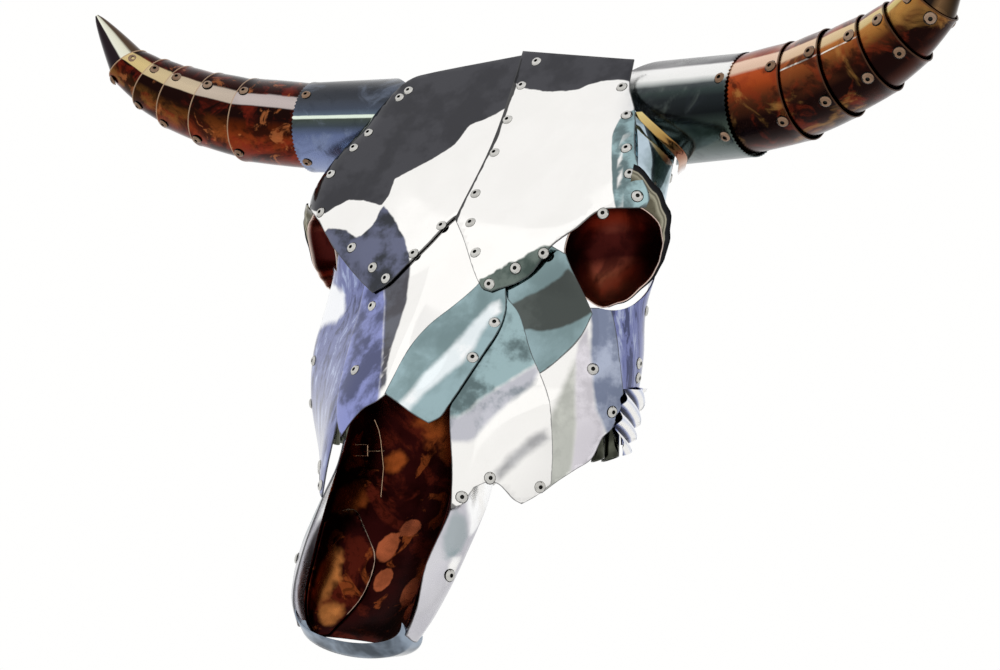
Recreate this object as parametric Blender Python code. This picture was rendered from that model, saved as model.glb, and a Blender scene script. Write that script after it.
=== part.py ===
"""Steer skull for a wall, cut from sheet steel and copper, bent and riveted together.

All places are in metres from the poll, the highest point of the forehead: +X is the viewer's
right, +Y goes back to the wall and +Z is up. One empty carries every piece and puts the
origin on the wall face of the hanger.
"""
import math

import bmesh
import bpy
from mathutils import Matrix, Vector

# Sheet and fit
SHEET = 0.0012
COPPER_SHEET = 0.0010
LAYER_STEP = 0.0019
BASE_LAYER = 4
CLEARANCE = 0.0006

# Wall and hanger, behind the poll
WALL_BACK = 0.066
HANGER_HEIGHT = -0.070
HANGER_SIZE = (0.120, 0.080)
HANGER_THICKNESS = 0.004
BACK_PLATE_TOP = -0.030
BACK_PLATE_BOTTOM = -0.140
BACK_PLATE_HALF_WIDTH = 0.100

# The form of the head on one side, top to bottom: height, how far forward the middle line
# is, then the roof's shoulder, the crest, the side and the rear edge as (out, back)
HEAD_SECTIONS = (
    (0.020, 0.014, (0.060, 0.013), (0.112, 0.012), (0.136, 0.030), (0.128, 0.056)),
    (0.000, 0.000, (0.060, -0.001), (0.122, -0.002), (0.146, 0.016), (0.128, 0.055)),
    (-0.060, -0.043, (0.070, -0.044), (0.137, -0.046), (0.159, -0.012), (0.125, 0.053)),
    (-0.100, -0.071, (0.080, -0.073), (0.156, -0.075), (0.170, -0.048), (0.119, 0.047)),
    (-0.140, -0.100, (0.085, -0.101), (0.152, -0.099), (0.174, -0.070), (0.116, 0.032)),
    (-0.180, -0.128, (0.080, -0.127), (0.112, -0.121), (0.168, -0.058), (0.122, 0.012)),
    (-0.220, -0.155, (0.060, -0.142), (0.142, -0.100), (0.156, -0.060), (0.128, -0.008)),
    (-0.260, -0.183, (0.058, -0.167), (0.153, -0.103), (0.156, -0.061), (0.130, -0.018)),
    (-0.300, -0.206, (0.056, -0.190), (0.152, -0.105), (0.150, -0.062), (0.128, -0.028)),
    (-0.340, -0.213, (0.062, -0.199), (0.144, -0.101), (0.142, -0.068), (0.124, -0.040)),
    (-0.390, -0.224, (0.063, -0.210), (0.129, -0.105), (0.127, -0.074), (0.118, -0.055)),
)
HEAD_BEND_RADII = (0.060, 0.020, 0.022)

# The form of the muzzle below the cheeks: height, how far forward the rim is and how far out,
# then its outer corner, its side and its rear edge
MUZZLE_SECTIONS = (
    (-0.320, (0.052, -0.182), (0.061, -0.171), (0.060, -0.130), (0.050, -0.112)),
    (-0.350, (0.056, -0.189), (0.065, -0.177), (0.064, -0.142), (0.052, -0.122)),
    (-0.375, (0.060, -0.202), (0.073, -0.186), (0.068, -0.155), (0.050, -0.136)),
    (-0.415, (0.058, -0.229), (0.077, -0.209), (0.066, -0.182), (0.045, -0.164)),
    (-0.450, (0.057, -0.241), (0.068, -0.230), (0.058, -0.204), (0.037, -0.190)),
    (-0.478, (0.043, -0.246), (0.052, -0.238), (0.045, -0.221), (0.030, -0.211)),
)
MUZZLE_BEND_RADII = (0.010, 0.016)

# The copper trough inside the nose: height, half width and place of its front edge, depth
LINING_SECTIONS = (
    (-0.285, 0.047, -0.166, 0.040),
    (-0.310, 0.050, -0.178, 0.050),
    (-0.340, 0.054, -0.186, 0.056),
    (-0.380, 0.057, -0.202, 0.058),
    (-0.415, 0.053, -0.222, 0.054),
    (-0.445, 0.051, -0.235, 0.043),
    (-0.466, 0.041, -0.240, 0.026),
    (-0.477, 0.026, -0.242, 0.008),
)
LINING_SIDES = 14

# Eye sockets: their centres as (out, back, up) from the middle line, right and left, and the
# way the right one looks; the left one is its mirror image, set a little further out
SOCKET_CENTRES = {1: Vector((0.1390, -0.0880, -0.1765)), -1: Vector((0.1530, -0.0860, -0.1772))}
SOCKET_FACING = Vector((0.60, -0.78, -0.16)).normalized()
SOCKET_RADIUS = 0.0403
SOCKET_DEPTH = 0.038
SOCKET_SIDES = 24
FLANGE_INNER_RADIUS = 0.0418
FLANGE_OUTER_RADIUS = 0.0510
FLANGE_SETBACK = 0.009
FLANGE_START = math.radians(-15)
FLANGE_SWEEP = math.radians(100)

# Right horn's centre line and radii: root, end of the steel collar, then the end of each
# copper band, the end of the last one being where the pointed tip starts
HORN_LINE = (
    (0.122, 0.008, -0.054),
    (0.222, -0.030, -0.055),
    (0.276, -0.041, -0.047),
    (0.313, -0.055, -0.037),
    (0.346, -0.064, -0.025),
    (0.370, -0.073, -0.012),
    (0.393, -0.083, 0.006),
    (0.422, -0.099, 0.038),
)
HORN_RADII = (0.0430, 0.0405, 0.0385, 0.0350, 0.0310, 0.0265, 0.0205, 0.0018)
BAND_OVERLAP = 0.006
BAND_INSET = 0.0038
HORN_SIDES = 18
RING_TURN = 0.4

# Plates as flat patterns on the form: (height, distance out from the middle line)
FOREHEAD_RIGHT = (
    (0.000, 0.000), (-0.016, 0.116), (-0.040, 0.121), (-0.065, 0.134), (-0.116, 0.157),
    (-0.132, 0.166), (-0.139, 0.165), (-0.145, 0.136), (-0.159, 0.120), (-0.173, 0.103),
    (-0.195, 0.085), (-0.209, 0.058), (-0.207, 0.050), (-0.173, 0.024), (-0.152, 0.004),
    (-0.086, 0.009), (-0.026, 0.004),
)
FOREHEAD_LEFT = (
    (-0.001, -0.012), (-0.016, 0.100), (-0.026, 0.116), (-0.083, 0.145), (-0.132, 0.166),
    (-0.146, 0.143), (-0.172, 0.111), (-0.206, 0.064), (-0.211, 0.056), (-0.202, 0.038),
    (-0.173, 0.015), (-0.150, 0.000), (-0.143, -0.016), (-0.086, -0.020), (-0.026, -0.015),
)
NASAL_RIGHT = (
    (-0.196, 0.050), (-0.207, 0.042), (-0.222, 0.029), (-0.238, 0.015), (-0.258, 0.006),
    (-0.291, 0.001), (-0.297, 0.013), (-0.304, 0.026), (-0.311, 0.041), (-0.306, 0.049),
    (-0.298, 0.053), (-0.286, 0.058), (-0.261, 0.066), (-0.241, 0.072), (-0.223, 0.072),
    (-0.196, 0.066),
)
NASAL_LEFT = (
    (-0.138, 0.006), (-0.160, 0.030), (-0.190, 0.056), (-0.198, 0.070), (-0.225, 0.074),
    (-0.262, 0.068), (-0.287, 0.062), (-0.307, 0.054), (-0.325, 0.041), (-0.312, 0.030),
    (-0.302, 0.018), (-0.293, 0.000), (-0.262, -0.016), (-0.238, -0.028), (-0.222, -0.040),
    (-0.205, -0.055), (-0.190, -0.050), (-0.160, -0.030), (-0.138, -0.010),
)
MAXILLA = (
    (-0.190, 0.060), (-0.209, 0.052), (-0.250, 0.050), (-0.285, 0.052), (-0.299, 0.054),
    (-0.345, 0.062), (-0.374, 0.065), (-0.371, 0.073), (-0.358, 0.080), (-0.354, 0.090),
    (-0.356, 0.100), (-0.367, 0.113), (-0.371, 0.121), (-0.365, 0.132), (-0.356, 0.143),
    (-0.322, 0.138), (-0.291, 0.129), (-0.258, 0.105), (-0.248, 0.098), (-0.225, 0.083),
    (-0.209, 0.068), (-0.195, 0.064),
)
LACRIMAL = (
    (-0.168, 0.095), (-0.186, 0.080), (-0.200, 0.060), (-0.235, 0.070), (-0.275, 0.095),
    (-0.270, 0.115), (-0.252, 0.131), (-0.240, 0.137), (-0.223, 0.140), (-0.205, 0.128),
    (-0.190, 0.119), (-0.176, 0.112),
)
CHEEK = (
    (-0.218, 0.118), (-0.255, 0.096), (-0.300, 0.112), (-0.345, 0.122), (-0.361, 0.128),
    (-0.362, 0.140), (-0.354, 0.150), (-0.345, 0.163), (-0.337, 0.174), (-0.320, 0.180),
    (-0.312, 0.188), (-0.291, 0.194), (-0.267, 0.180), (-0.240, 0.166), (-0.218, 0.154),
)
WHOLE_CHEEK = MAXILLA[1:15] + CHEEK[6:15] + LACRIMAL[9:12] + LACRIMAL[0:2]
JAW = (
    (-0.190, 0.186), (-0.218, 0.146), (-0.240, 0.156), (-0.267, 0.168), (-0.300, 0.180),
    (-0.312, 0.188), (-0.316, 0.204), (-0.328, 0.212), (-0.330, 0.226), (-0.316, 0.238),
    (-0.290, 0.246), (-0.252, 0.246), (-0.215, 0.240), (-0.190, 0.240),
)
TEMPLE = (
    (-0.026, 0.108), (-0.060, 0.122), (-0.100, 0.140), (-0.148, 0.160), (-0.170, 0.196),
    (-0.170, 0.236), (-0.120, 0.246), (-0.090, 0.244), (-0.050, 0.222), (-0.026, 0.204),
)
MUZZLE_SIDE = (
    (-0.330, 0.006), (-0.362, 0.002), (-0.415, 0.000), (-0.450, 0.000), (-0.466, 0.001),
    (-0.472, 0.014), (-0.468, 0.040), (-0.450, 0.056), (-0.415, 0.072), (-0.375, 0.080),
    (-0.335, 0.070), (-0.327, 0.040),
)
GRID_HEIGHTS = (-0.050, -0.090, -0.120, -0.140, -0.155, -0.170, -0.185, -0.200, -0.215,
                -0.230, -0.250, -0.270, -0.290, -0.310, -0.330, -0.350)
GRID_REACHES = (-0.040, -0.020, 0.000, 0.020, 0.035, 0.046, 0.056, 0.066, 0.078, 0.095, 0.115,
                0.135, 0.148, 0.157, 0.166, 0.176, 0.188, 0.200, 0.210, 0.222, 0.240)

# Pleated molar strip, on the form behind the crest, and the rolled molar tubes before it
PLEAT_TOP = -0.284
PLEAT_BOTTOM = -0.336
PLEAT_FIRST = 0.207
PLEAT_PITCH = 0.0075
PLEAT_COUNT = 5
PLEAT_DEPTH = 0.005
MOLAR_TUBES = (("front", 0.1315, -0.0960, 0.0055), ("rear", 0.1335, -0.0840, 0.0055))
MOLAR_TOP = -0.306
MOLAR_BOTTOM = -0.340
MOLAR_SIDES = 10

# The pieces made from a few further sizes
SIDE_NAMES = {1: "right", -1: "left"}
TEMPLE_LAYER = 3
COLLAR_STEPS = 150
COLLAR_STEP_MARGIN = 0.0040
GRID_MARGIN = 0.002
TIP_RINGS = (0.0, 0.35, 0.7, 0.9, 1.0)
TIP_POWER = 0.8
CUP_STEPS = 6
FLANGE_STEPS = 10
CUTTER_DEPTH = 0.100
STRIP_LOW = math.radians(-60)
STRIP_HIGH = math.radians(75)
STRIP_STAND_OFF = 0.004
STRIP_REACH = 0.100
STRIP_FLARE = 0.004
STRIP_LIFT = 0.0040
STRIP_WIDTH = 0.011
CROWN_TOP = -0.002
CROWN_FALL = 0.145
CROWN_EDGE = ((0.0, 0.004), (0.108, -0.003), (0.126, 0.022), (0.118, 0.060), (0.0, 0.060))
BACK_PLATE_ROUNDING = 0.020
HANGER_ROUNDING = 0.008
LINING_LAP = 0.0022
UPPER_LINING = (-0.285, -0.310, -0.335, -0.360, -0.385, -0.405)
LOWER_LINING = (-0.385, -0.405, -0.425, -0.445, -0.458, -0.468, -0.477)
LIP_STEPS = 12
LIP_ROWS = (
    (0.050, -0.2475, -0.456, -0.4760),
    (0.049, -0.2400, -0.470, -0.4910),
    (0.043, -0.2220, -0.476, -0.4930),
)
PLEAT_BASE_LIFT = -0.0019

# Colours as seen on the metal: (red, green, blue), roughness, metallic
MIRROR_STEEL = ((0.78, 0.79, 0.80), 0.12, 1.0)
BLUED_STEEL = ((0.36, 0.42, 0.62), 0.16, 1.0)
TEAL_STEEL = ((0.42, 0.56, 0.56), 0.16, 1.0)
FLAMED_COPPER = ((0.42, 0.13, 0.05), 0.24, 1.0)
DARK_COPPER = ((0.16, 0.03, 0.015), 0.30, 1.0)
GILDED_COPPER = ((0.62, 0.36, 0.14), 0.22, 1.0)
DARK_STEEL = ((0.14, 0.14, 0.13), 0.30, 1.0)
BLACK_STEEL = ((0.05, 0.05, 0.055), 0.45, 1.0)


def clear_scene():
    """Remove whatever the file holds."""
    for thing in list(bpy.data.objects):
        bpy.data.objects.remove(thing)


def metal(name, finish):
    """One Principled metal."""
    colour, roughness, metallic = finish
    material = bpy.data.materials.new(name)
    material.use_nodes = True
    shader = material.node_tree.nodes["Principled BSDF"]
    shader.inputs["Base Color"].default_value = (*colour, 1.0)
    shader.inputs["Roughness"].default_value = roughness
    shader.inputs["Metallic"].default_value = metallic
    return material


def add_piece(name, shape, finish, carrier):
    """Turn a bmesh into a named object under the carrier."""
    mesh = bpy.data.meshes.new(name)
    shape.to_mesh(mesh)
    shape.free()
    mesh.shade_smooth()
    mesh.set_sharp_from_angle(angle=math.radians(35))
    mesh.materials.append(metal(name, finish))
    piece = bpy.data.objects.new(name, mesh)
    bpy.context.collection.objects.link(piece)
    piece.parent = carrier
    return piece


def thicken(piece, sheet, outward=True):
    """Give an open sheet its thickness with a Solidify modifier."""
    solid = piece.modifiers.new("sheet", "SOLIDIFY")
    solid.thickness = sheet
    solid.offset = 1.0 if outward else -1.0
    solid.use_even_offset = True
    solid.use_quality_normals = True
    return piece


def smooth_between(sections, height):
    """Values of a section at any height, on a smooth curve through the given ones."""
    rows = sorted((row[0], flatten(row[1:])) for row in sections)
    heights = [row[0] for row in rows]
    last = len(rows) - 2
    first = max(0, min(last, sum(1 for h in heights if h <= height) - 1))
    span = heights[first + 1] - heights[first]
    t = (height - heights[first]) / span

    def slope(index, item):
        low, high = max(index - 1, 0), min(index + 1, last + 1)
        return (rows[high][1][item] - rows[low][1][item]) / (heights[high] - heights[low])

    values = []
    for item, (start, end) in enumerate(zip(rows[first][1], rows[first + 1][1])):
        rise_in = slope(first, item) * span
        rise_out = slope(first + 1, item) * span
        values.append(
            (2 * t**3 - 3 * t**2 + 1) * start + (t**3 - 2 * t**2 + t) * rise_in
            + (3 * t**2 - 2 * t**3) * end + (t**3 - t**2) * rise_out)
    return values


def flatten(row):
    """A section's numbers in one list."""
    flat = []
    for item in row:
        flat.extend(item if isinstance(item, tuple) else (item,))
    return flat


def rounded_path(corners, radii, steps=8):
    """A polyline in the level plane with its inner corners rounded."""
    path = [corners[0]]
    for before, corner, after, radius in zip(corners, corners[1:], corners[2:], radii):
        back, on = before - corner, after - corner
        cut = min(radius, 0.45 * back.length, 0.45 * on.length)
        start = corner + back.normalized() * cut
        end = corner + on.normalized() * cut
        for step in range(steps + 1):
            t = step / steps
            path.append((1 - t) ** 2 * start + 2 * t * (1 - t) * corner + t * t * end)
    path.append(corners[-1])
    return path


def head_path(height):
    """The head's outline at one height, from the middle line round to the rear."""
    values = smooth_between(HEAD_SECTIONS, height)
    corners = [Vector((0.0, values[0]))]
    corners += [Vector(values[i:i + 2]) for i in range(1, len(values), 2)]
    return rounded_path(corners, HEAD_BEND_RADII)


def muzzle_path(height):
    """The muzzle's outline at one height, from the nose rim round to the rear."""
    values = smooth_between(MUZZLE_SECTIONS, height)
    corners = [Vector(values[i:i + 2]) for i in range(0, len(values), 2)]
    return rounded_path(corners, MUZZLE_BEND_RADII)


def along(path, reach):
    """The point and the direction at a distance along a path, straight on past its ends."""
    left = reach
    for start, end in zip(path, path[1:]):
        step = (end - start).length
        if step < 1e-9:
            continue
        if left <= step or end is path[-1]:
            direction = (end - start) / step
            return start + direction * left, direction
        left -= step
    return path[-1], direction


def on_form(path_at, height, reach, lift):
    """A point of the form, lifted off it along its normal; a minus reach is mirrored."""
    side = -1.0 if reach < 0 else 1.0
    spot, run = along(path_at(height), abs(reach))
    above = along(path_at(height + 0.002), abs(reach))[0]
    below = along(path_at(height - 0.002), abs(reach))[0]
    down = Vector((below.x - above.x, below.y - above.y, -0.004))
    normal = down.cross(Vector((run.x, run.y, 0.0))).normalized()
    if abs(reach) < 1e-6 and path_at is head_path:
        normal.x = 0.0
        normal.normalize()
    point = Vector((spot.x, spot.y, height)) + normal * lift
    return Vector((side * point.x, point.y, point.z))


def cut_along_grid(pattern):
    """Cut a flat pattern along shared grid lines, so that it can bend with the form."""
    for normal, places in ((Vector((1, 0, 0)), GRID_REACHES), (Vector((0, 1, 0)), GRID_HEIGHTS)):
        spots = [vert.co.dot(normal) for vert in pattern.verts]
        for place in places:
            if min(spots) + GRID_MARGIN < place < max(spots) - GRID_MARGIN:
                bmesh.ops.bisect_plane(
                    pattern, geom=pattern.verts[:] + pattern.edges[:] + pattern.faces[:],
                    dist=1e-6, plane_co=normal * place, plane_no=normal)


def plate(name, outline, finish, carrier, layer, side=1, path_at=head_path):
    """A bent sheet-metal plate: flat pattern, bent over the form, then given its thickness."""
    pattern = bmesh.new()
    corners = [pattern.verts.new((reach, height, 0.0)) for height, reach in outline]
    pattern.faces.new(corners)
    pattern.normal_update()
    if pattern.faces[:][0].normal.z > 0:
        bmesh.ops.reverse_faces(pattern, faces=pattern.faces)
    cut_along_grid(pattern)
    bmesh.ops.triangulate(pattern, faces=pattern.faces)
    lift = (layer - BASE_LAYER) * LAYER_STEP
    for vert in pattern.verts:
        point = on_form(path_at, vert.co.y, vert.co.x, lift)
        vert.co = Vector((side * point.x, point.y, point.z))
    if side > 0:
        bmesh.ops.reverse_faces(pattern, faces=pattern.faces)
    return thicken(add_piece(name, pattern, finish, carrier), SHEET)


def ring(shape, centre, aim, radius, sides):
    """One circle of vertices round an axis, with no face."""
    turn = aim.to_track_quat("Z", "Y").to_matrix().to_4x4()
    made = bmesh.ops.create_circle(
        shape, cap_ends=False, radius=radius, segments=sides,
        matrix=Matrix.Translation(centre) @ turn)
    return made["verts"]


def bridge_rings(shape, rings):
    """Join rings in order with faces."""
    for first, second in zip(rings, rings[1:]):
        edges = {edge for ring_verts in (first, second) for vert in ring_verts
                 for edge in vert.link_edges
                 if edge.other_vert(vert) in ring_verts}
        bmesh.ops.bridge_loops(shape, edges=list(edges))


def face_outwards(shape):
    """Point the faces of a sheet away from its own middle."""
    bmesh.ops.recalc_face_normals(shape, faces=shape.faces)
    centre = sum((vert.co for vert in shape.verts), Vector()) / len(shape.verts)
    facing = sum(face.normal.dot(face.calc_center_median() - centre) * face.calc_area()
                 for face in shape.faces)
    if facing < 0:
        bmesh.ops.reverse_faces(shape, faces=shape.faces)


def mirrored(shape, side):
    """Mirror a right-hand shape for the left side."""
    if side < 0:
        bmesh.ops.scale(shape, vec=(-1, 1, 1), verts=shape.verts)
        bmesh.ops.reverse_faces(shape, faces=shape.faces)
    return shape


def horn_direction(index):
    """The way the horn's centre line runs at one of its points."""
    before = Vector(HORN_LINE[max(index - 1, 0)])
    after = Vector(HORN_LINE[min(index + 1, len(HORN_LINE) - 1)])
    return (after - before).normalized()


def band_edge_aim(index):
    """The way a band's edge looks: it is cut turned a little towards the side."""
    aim = horn_direction(index)
    return Vector((aim.x, aim.y * RING_TURN, aim.z)).normalized()


def horn_collar(side, carrier):
    """The steel collar from the temple to the first copper band, cut to fit the temple."""
    start, end = Vector(HORN_LINE[0]), Vector(HORN_LINE[1])
    run = (end - start).normalized()
    shape = bmesh.new()
    root = ring(shape, start, run, HORN_RADII[0] + SHEET, HORN_SIDES)
    far = ring(shape, end + horn_direction(1) * BAND_OVERLAP, band_edge_aim(1),
               HORN_RADII[1] + SHEET, HORN_SIDES)
    pairs = [(vert, min(far, key=lambda other: (other.co - vert.co).length)) for vert in root]
    for vert, mate in pairs:
        vert.co = temple_meeting(mate.co, vert.co)
    bridge_rings(shape, (root, far))
    face_outwards(shape)
    name = "horn_collar_" + SIDE_NAMES[side]
    thicken(add_piece(name, mirrored(shape, side), BLUED_STEEL, carrier), SHEET, False)


def temple_meeting(outer, inner):
    """Where a line from the horn towards the skull comes down on the temple plate."""
    clear = (TEMPLE_LAYER - BASE_LAYER) * LAYER_STEP + SHEET + CLEARANCE
    for step in range(COLLAR_STEPS + 1):
        spot = outer.lerp(inner, 1.25 * step / COLLAR_STEPS)
        path = head_path(spot.z)
        gap = min((closest_on(path[i], path[i + 1], spot.xy) - spot.xy).length
                  for i in range(len(path) - 1))
        if gap < clear + COLLAR_STEP_MARGIN:
            return spot
    return spot


def closest_on(start, end, spot):
    """The nearest point of a short straight run."""
    run = end - start
    if run.length_squared < 1e-14:
        return start
    t = max(0.0, min(1.0, (spot - start).dot(run) / run.length_squared))
    return start + run * t


def horn_band(index, side, carrier):
    """One copper band: it slips under the piece before it and over the one after it."""
    start, end = Vector(HORN_LINE[index]), Vector(HORN_LINE[index + 1])
    start_aim, end_aim = band_edge_aim(index), band_edge_aim(index + 1)
    shape = bmesh.new()
    root = ring(shape, start - horn_direction(index) * BAND_OVERLAP, start_aim,
                HORN_RADII[index] - BAND_INSET + COPPER_SHEET, HORN_SIDES)
    middle_radius = (HORN_RADII[index] + HORN_RADII[index + 1]) / 2 - BAND_INSET / 2
    middle = ring(shape, (start + end) / 2, (start_aim + end_aim).normalized(),
                  middle_radius + COPPER_SHEET, HORN_SIDES)
    far = ring(shape, end, end_aim, HORN_RADII[index + 1] + COPPER_SHEET, HORN_SIDES)
    bridge_rings(shape, (root, middle, far))
    face_outwards(shape)
    name = "horn_band_%d_%s" % (index, SIDE_NAMES[side])
    thicken(add_piece(name, mirrored(shape, side), FLAMED_COPPER, carrier),
            COPPER_SHEET, False)


def horn_tip(side, carrier):
    """The polished pointed tip, a closed cone."""
    last = len(HORN_LINE) - 2
    start, end = Vector(HORN_LINE[last]), Vector(HORN_LINE[last + 1])
    aim = band_edge_aim(last)
    shape = bmesh.new()
    root_radius = HORN_RADII[last] - BAND_INSET + COPPER_SHEET
    root = start - horn_direction(last) * BAND_OVERLAP
    rings = [ring(shape, root, aim, root_radius, HORN_SIDES)]
    for share in TIP_RINGS:
        radius = root_radius * (1 - share) ** TIP_POWER + HORN_RADII[last + 1] * share
        rings.append(ring(shape, start.lerp(end, share), aim, radius, HORN_SIDES))
    bridge_rings(shape, rings)
    bmesh.ops.holes_fill(shape, edges=shape.edges[:], sides=HORN_SIDES)
    bmesh.ops.recalc_face_normals(shape, faces=shape.faces)
    name = "horn_tip_" + SIDE_NAMES[side]
    add_piece(name, mirrored(shape, side), GILDED_COPPER, carrier)


def horn(side, carrier):
    """Collar, copper bands and tip."""
    horn_collar(side, carrier)
    for index in range(1, len(HORN_LINE) - 2):
        horn_band(index, side, carrier)
    horn_tip(side, carrier)


def socket_frame(side):
    """The eye socket's place: its own Z looks out of the socket, its X up and back."""
    across = SOCKET_FACING.cross(Vector((0, 0, 1))).normalized()
    up = across.cross(SOCKET_FACING)
    turn = Matrix((-across, up, SOCKET_FACING)).transposed().to_4x4()
    return Matrix.Translation(SOCKET_CENTRES[side]) @ turn


def turned_profile(points, sides, start=0.0, sweep=math.tau):
    """Spin a profile of (radius, height) round the socket's axis."""
    shape = bmesh.new()
    verts = [shape.verts.new((r * math.cos(start), r * math.sin(start), h))
             for r, h in points]
    edges = [shape.edges.new(pair) for pair in zip(verts, verts[1:])]
    whole = abs(sweep - math.tau) < 1e-6
    bmesh.ops.spin(shape, geom=verts + edges, cent=(0, 0, 0), axis=(0, 0, 1), angle=sweep,
                   steps=sides, use_merge=whole, use_duplicate=False)
    bmesh.ops.remove_doubles(shape, verts=shape.verts, dist=1e-6)
    return shape


def socket_cup(side, carrier):
    """The copper bowl of an eye socket, open to the front."""
    profile = [(SOCKET_RADIUS * math.cos(a), -SOCKET_DEPTH * math.sin(a))
               for a in (math.radians(90 * i / CUP_STEPS) for i in range(CUP_STEPS))]
    profile.append((0.0, -SOCKET_DEPTH))
    shape = turned_profile(profile, SOCKET_SIDES)
    shape.transform(socket_frame(side))
    face_outwards(shape)
    name = "socket_cup_" + SIDE_NAMES[side]
    thicken(add_piece(name, mirrored(shape, side), DARK_COPPER, carrier),
            COPPER_SHEET, False)


def socket_flange(side, carrier):
    """The steel brow flange that flares round the upper rear of the socket."""
    profile = ((FLANGE_INNER_RADIUS, 0.0), (FLANGE_OUTER_RADIUS, -FLANGE_SETBACK))
    shape = turned_profile(profile, FLANGE_STEPS, FLANGE_START, FLANGE_SWEEP)
    shape.transform(socket_frame(side))
    bmesh.ops.recalc_face_normals(shape, faces=shape.faces)
    if sum(face.normal.dot(SOCKET_FACING) for face in shape.faces) < 0:
        bmesh.ops.reverse_faces(shape, faces=shape.faces)
    name = "socket_flange_" + SIDE_NAMES[side]
    thicken(add_piece(name, mirrored(shape, side), DARK_STEEL, carrier), SHEET, False)


def socket_cutter(radius, side, carrier):
    """A drum on the socket's axis that cuts its opening into the plates behind it."""
    shape = bmesh.new()
    place = socket_frame(side) @ Matrix.Translation((0, 0, CUTTER_DEPTH * -0.25))
    bmesh.ops.create_cone(shape, cap_ends=True, segments=SOCKET_SIDES, radius1=radius,
                          radius2=radius, depth=CUTTER_DEPTH, matrix=place)
    cutter = add_piece("socket_cutter_%d_%s" % (radius * 1e4, SIDE_NAMES[side]),
                       mirrored(shape, side), BLACK_STEEL, carrier)
    cutter.hide_render = True
    cutter.display_type = "WIRE"
    return cutter


def cut(piece, cutter):
    """Take the cutter out of a piece."""
    boolean = piece.modifiers.new("opening", "BOOLEAN")
    boolean.operation = "DIFFERENCE"
    boolean.object = cutter
    boolean.solver = "EXACT"


def temple_flange(side, carrier):
    """The gilded copper strip that flares from the temple round the underside of the horn."""
    start = Vector(HORN_LINE[0])
    run = (Vector(HORN_LINE[1]) - start).normalized()
    shape = bmesh.new()
    near = ring(shape, start, run, HORN_RADII[0], HORN_SIDES)
    keep = [v for v in near if STRIP_LOW < strip_angle(v.co - start, run) < STRIP_HIGH]
    bmesh.ops.delete(shape, geom=[v for v in near if v not in keep], context="VERTS")
    inner = sorted(keep, key=lambda v: strip_angle(v.co - start, run))
    outer = []
    for vert in inner:
        radial = (vert.co - start).normalized()
        outer_line = vert.co + radial * STRIP_STAND_OFF
        seat = temple_meeting(outer_line + run * STRIP_REACH, outer_line)
        vert.co = seat + radial * STRIP_FLARE + run * STRIP_LIFT
        outer.append(shape.verts.new(seat + run * (STRIP_LIFT + STRIP_WIDTH)))
    bmesh.ops.delete(shape, geom=shape.edges[:], context="EDGES_FACES")
    for i in range(len(inner) - 1):
        shape.faces.new((inner[i], inner[i + 1], outer[i + 1], outer[i]))
    face_outwards(shape)
    name = "temple_strip_" + SIDE_NAMES[side]
    thicken(add_piece(name, mirrored(shape, side), GILDED_COPPER, carrier), COPPER_SHEET)


def strip_angle(offset, run):
    """Angle round the horn from straight down, forwards positive."""
    down = Vector((0, 0, -1))
    forward = down.cross(run).normalized()
    if forward.y > 0:
        forward = -forward
    return math.atan2(offset.dot(forward), offset.dot(down))


def crown(carrier):
    """The plate over the top of the head, folded along the middle and turned to the wall."""
    outline = [(side * x, y) for side, rows in ((1, CROWN_EDGE), (-1, CROWN_EDGE[::-1]))
               for x, y in rows if not (side < 0 and x == 0)]
    shape = bmesh.new()
    corners = [shape.verts.new((x, y, CROWN_TOP - CROWN_FALL * abs(x))) for x, y in outline]
    shape.faces.new(corners)
    bmesh.ops.bisect_plane(shape, geom=shape.verts[:] + shape.edges[:] + shape.faces[:],
                           plane_co=(0, 0, 0), plane_no=(1, 0, 0), dist=1e-7)
    bmesh.ops.triangulate(shape, faces=shape.faces)
    bmesh.ops.recalc_face_normals(shape, faces=shape.faces)
    if sum(face.normal.z for face in shape.faces) < 0:
        bmesh.ops.reverse_faces(shape, faces=shape.faces)
    thicken(add_piece("crown_plate", shape, MIRROR_STEEL, carrier), SHEET, False)


def slab(name, low, high, finish, carrier, rounding=0.0):
    """A flat plate between two corners, its upright corners rounded."""
    shape = bmesh.new()
    bmesh.ops.create_cube(shape, size=1.0)
    low, high = Vector(low), Vector(high)
    bmesh.ops.scale(shape, vec=high - low, verts=shape.verts)
    bmesh.ops.translate(shape, vec=(high + low) / 2, verts=shape.verts)
    if rounding:
        corner_edges = [edge for edge in shape.edges
                        if abs((edge.verts[0].co - edge.verts[1].co).normalized().y) > 0.9]
        bmesh.ops.bevel(shape, geom=corner_edges, offset=rounding, offset_type="OFFSET",
                        affect="EDGES", segments=4, profile=0.5, material=-1)
    return add_piece(name, shape, finish, carrier)


def back_of_head(carrier):
    """The plate that closes the head at the wall, and the hanger riveted to it."""
    hanger_front = WALL_BACK - HANGER_THICKNESS
    slab("back_plate",
         (-BACK_PLATE_HALF_WIDTH, hanger_front - CLEARANCE - SHEET, BACK_PLATE_BOTTOM),
         (BACK_PLATE_HALF_WIDTH, hanger_front - CLEARANCE, BACK_PLATE_TOP),
         BLACK_STEEL, carrier, BACK_PLATE_ROUNDING)
    half_width, half_height = HANGER_SIZE[0] / 2, HANGER_SIZE[1] / 2
    slab("wall_hanger",
         (-half_width, hanger_front, HANGER_HEIGHT - half_height),
         (half_width, WALL_BACK, HANGER_HEIGHT + half_height),
         BLACK_STEEL, carrier, HANGER_ROUNDING)


def trough_row(height, wider=0.0, share=1.0):
    """One level row of the nose lining: an arc from its left edge round the back."""
    half_width, front, depth = smooth_between(LINING_SECTIONS, height)
    row = []
    for step in range(LINING_SIDES + 1):
        angle = math.pi * (0.5 + (step / LINING_SIDES - 0.5) * share)
        row.append(Vector(((half_width + wider) * math.cos(angle),
                           front + (depth + wider) * math.sin(angle), height)))
    return row


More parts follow.
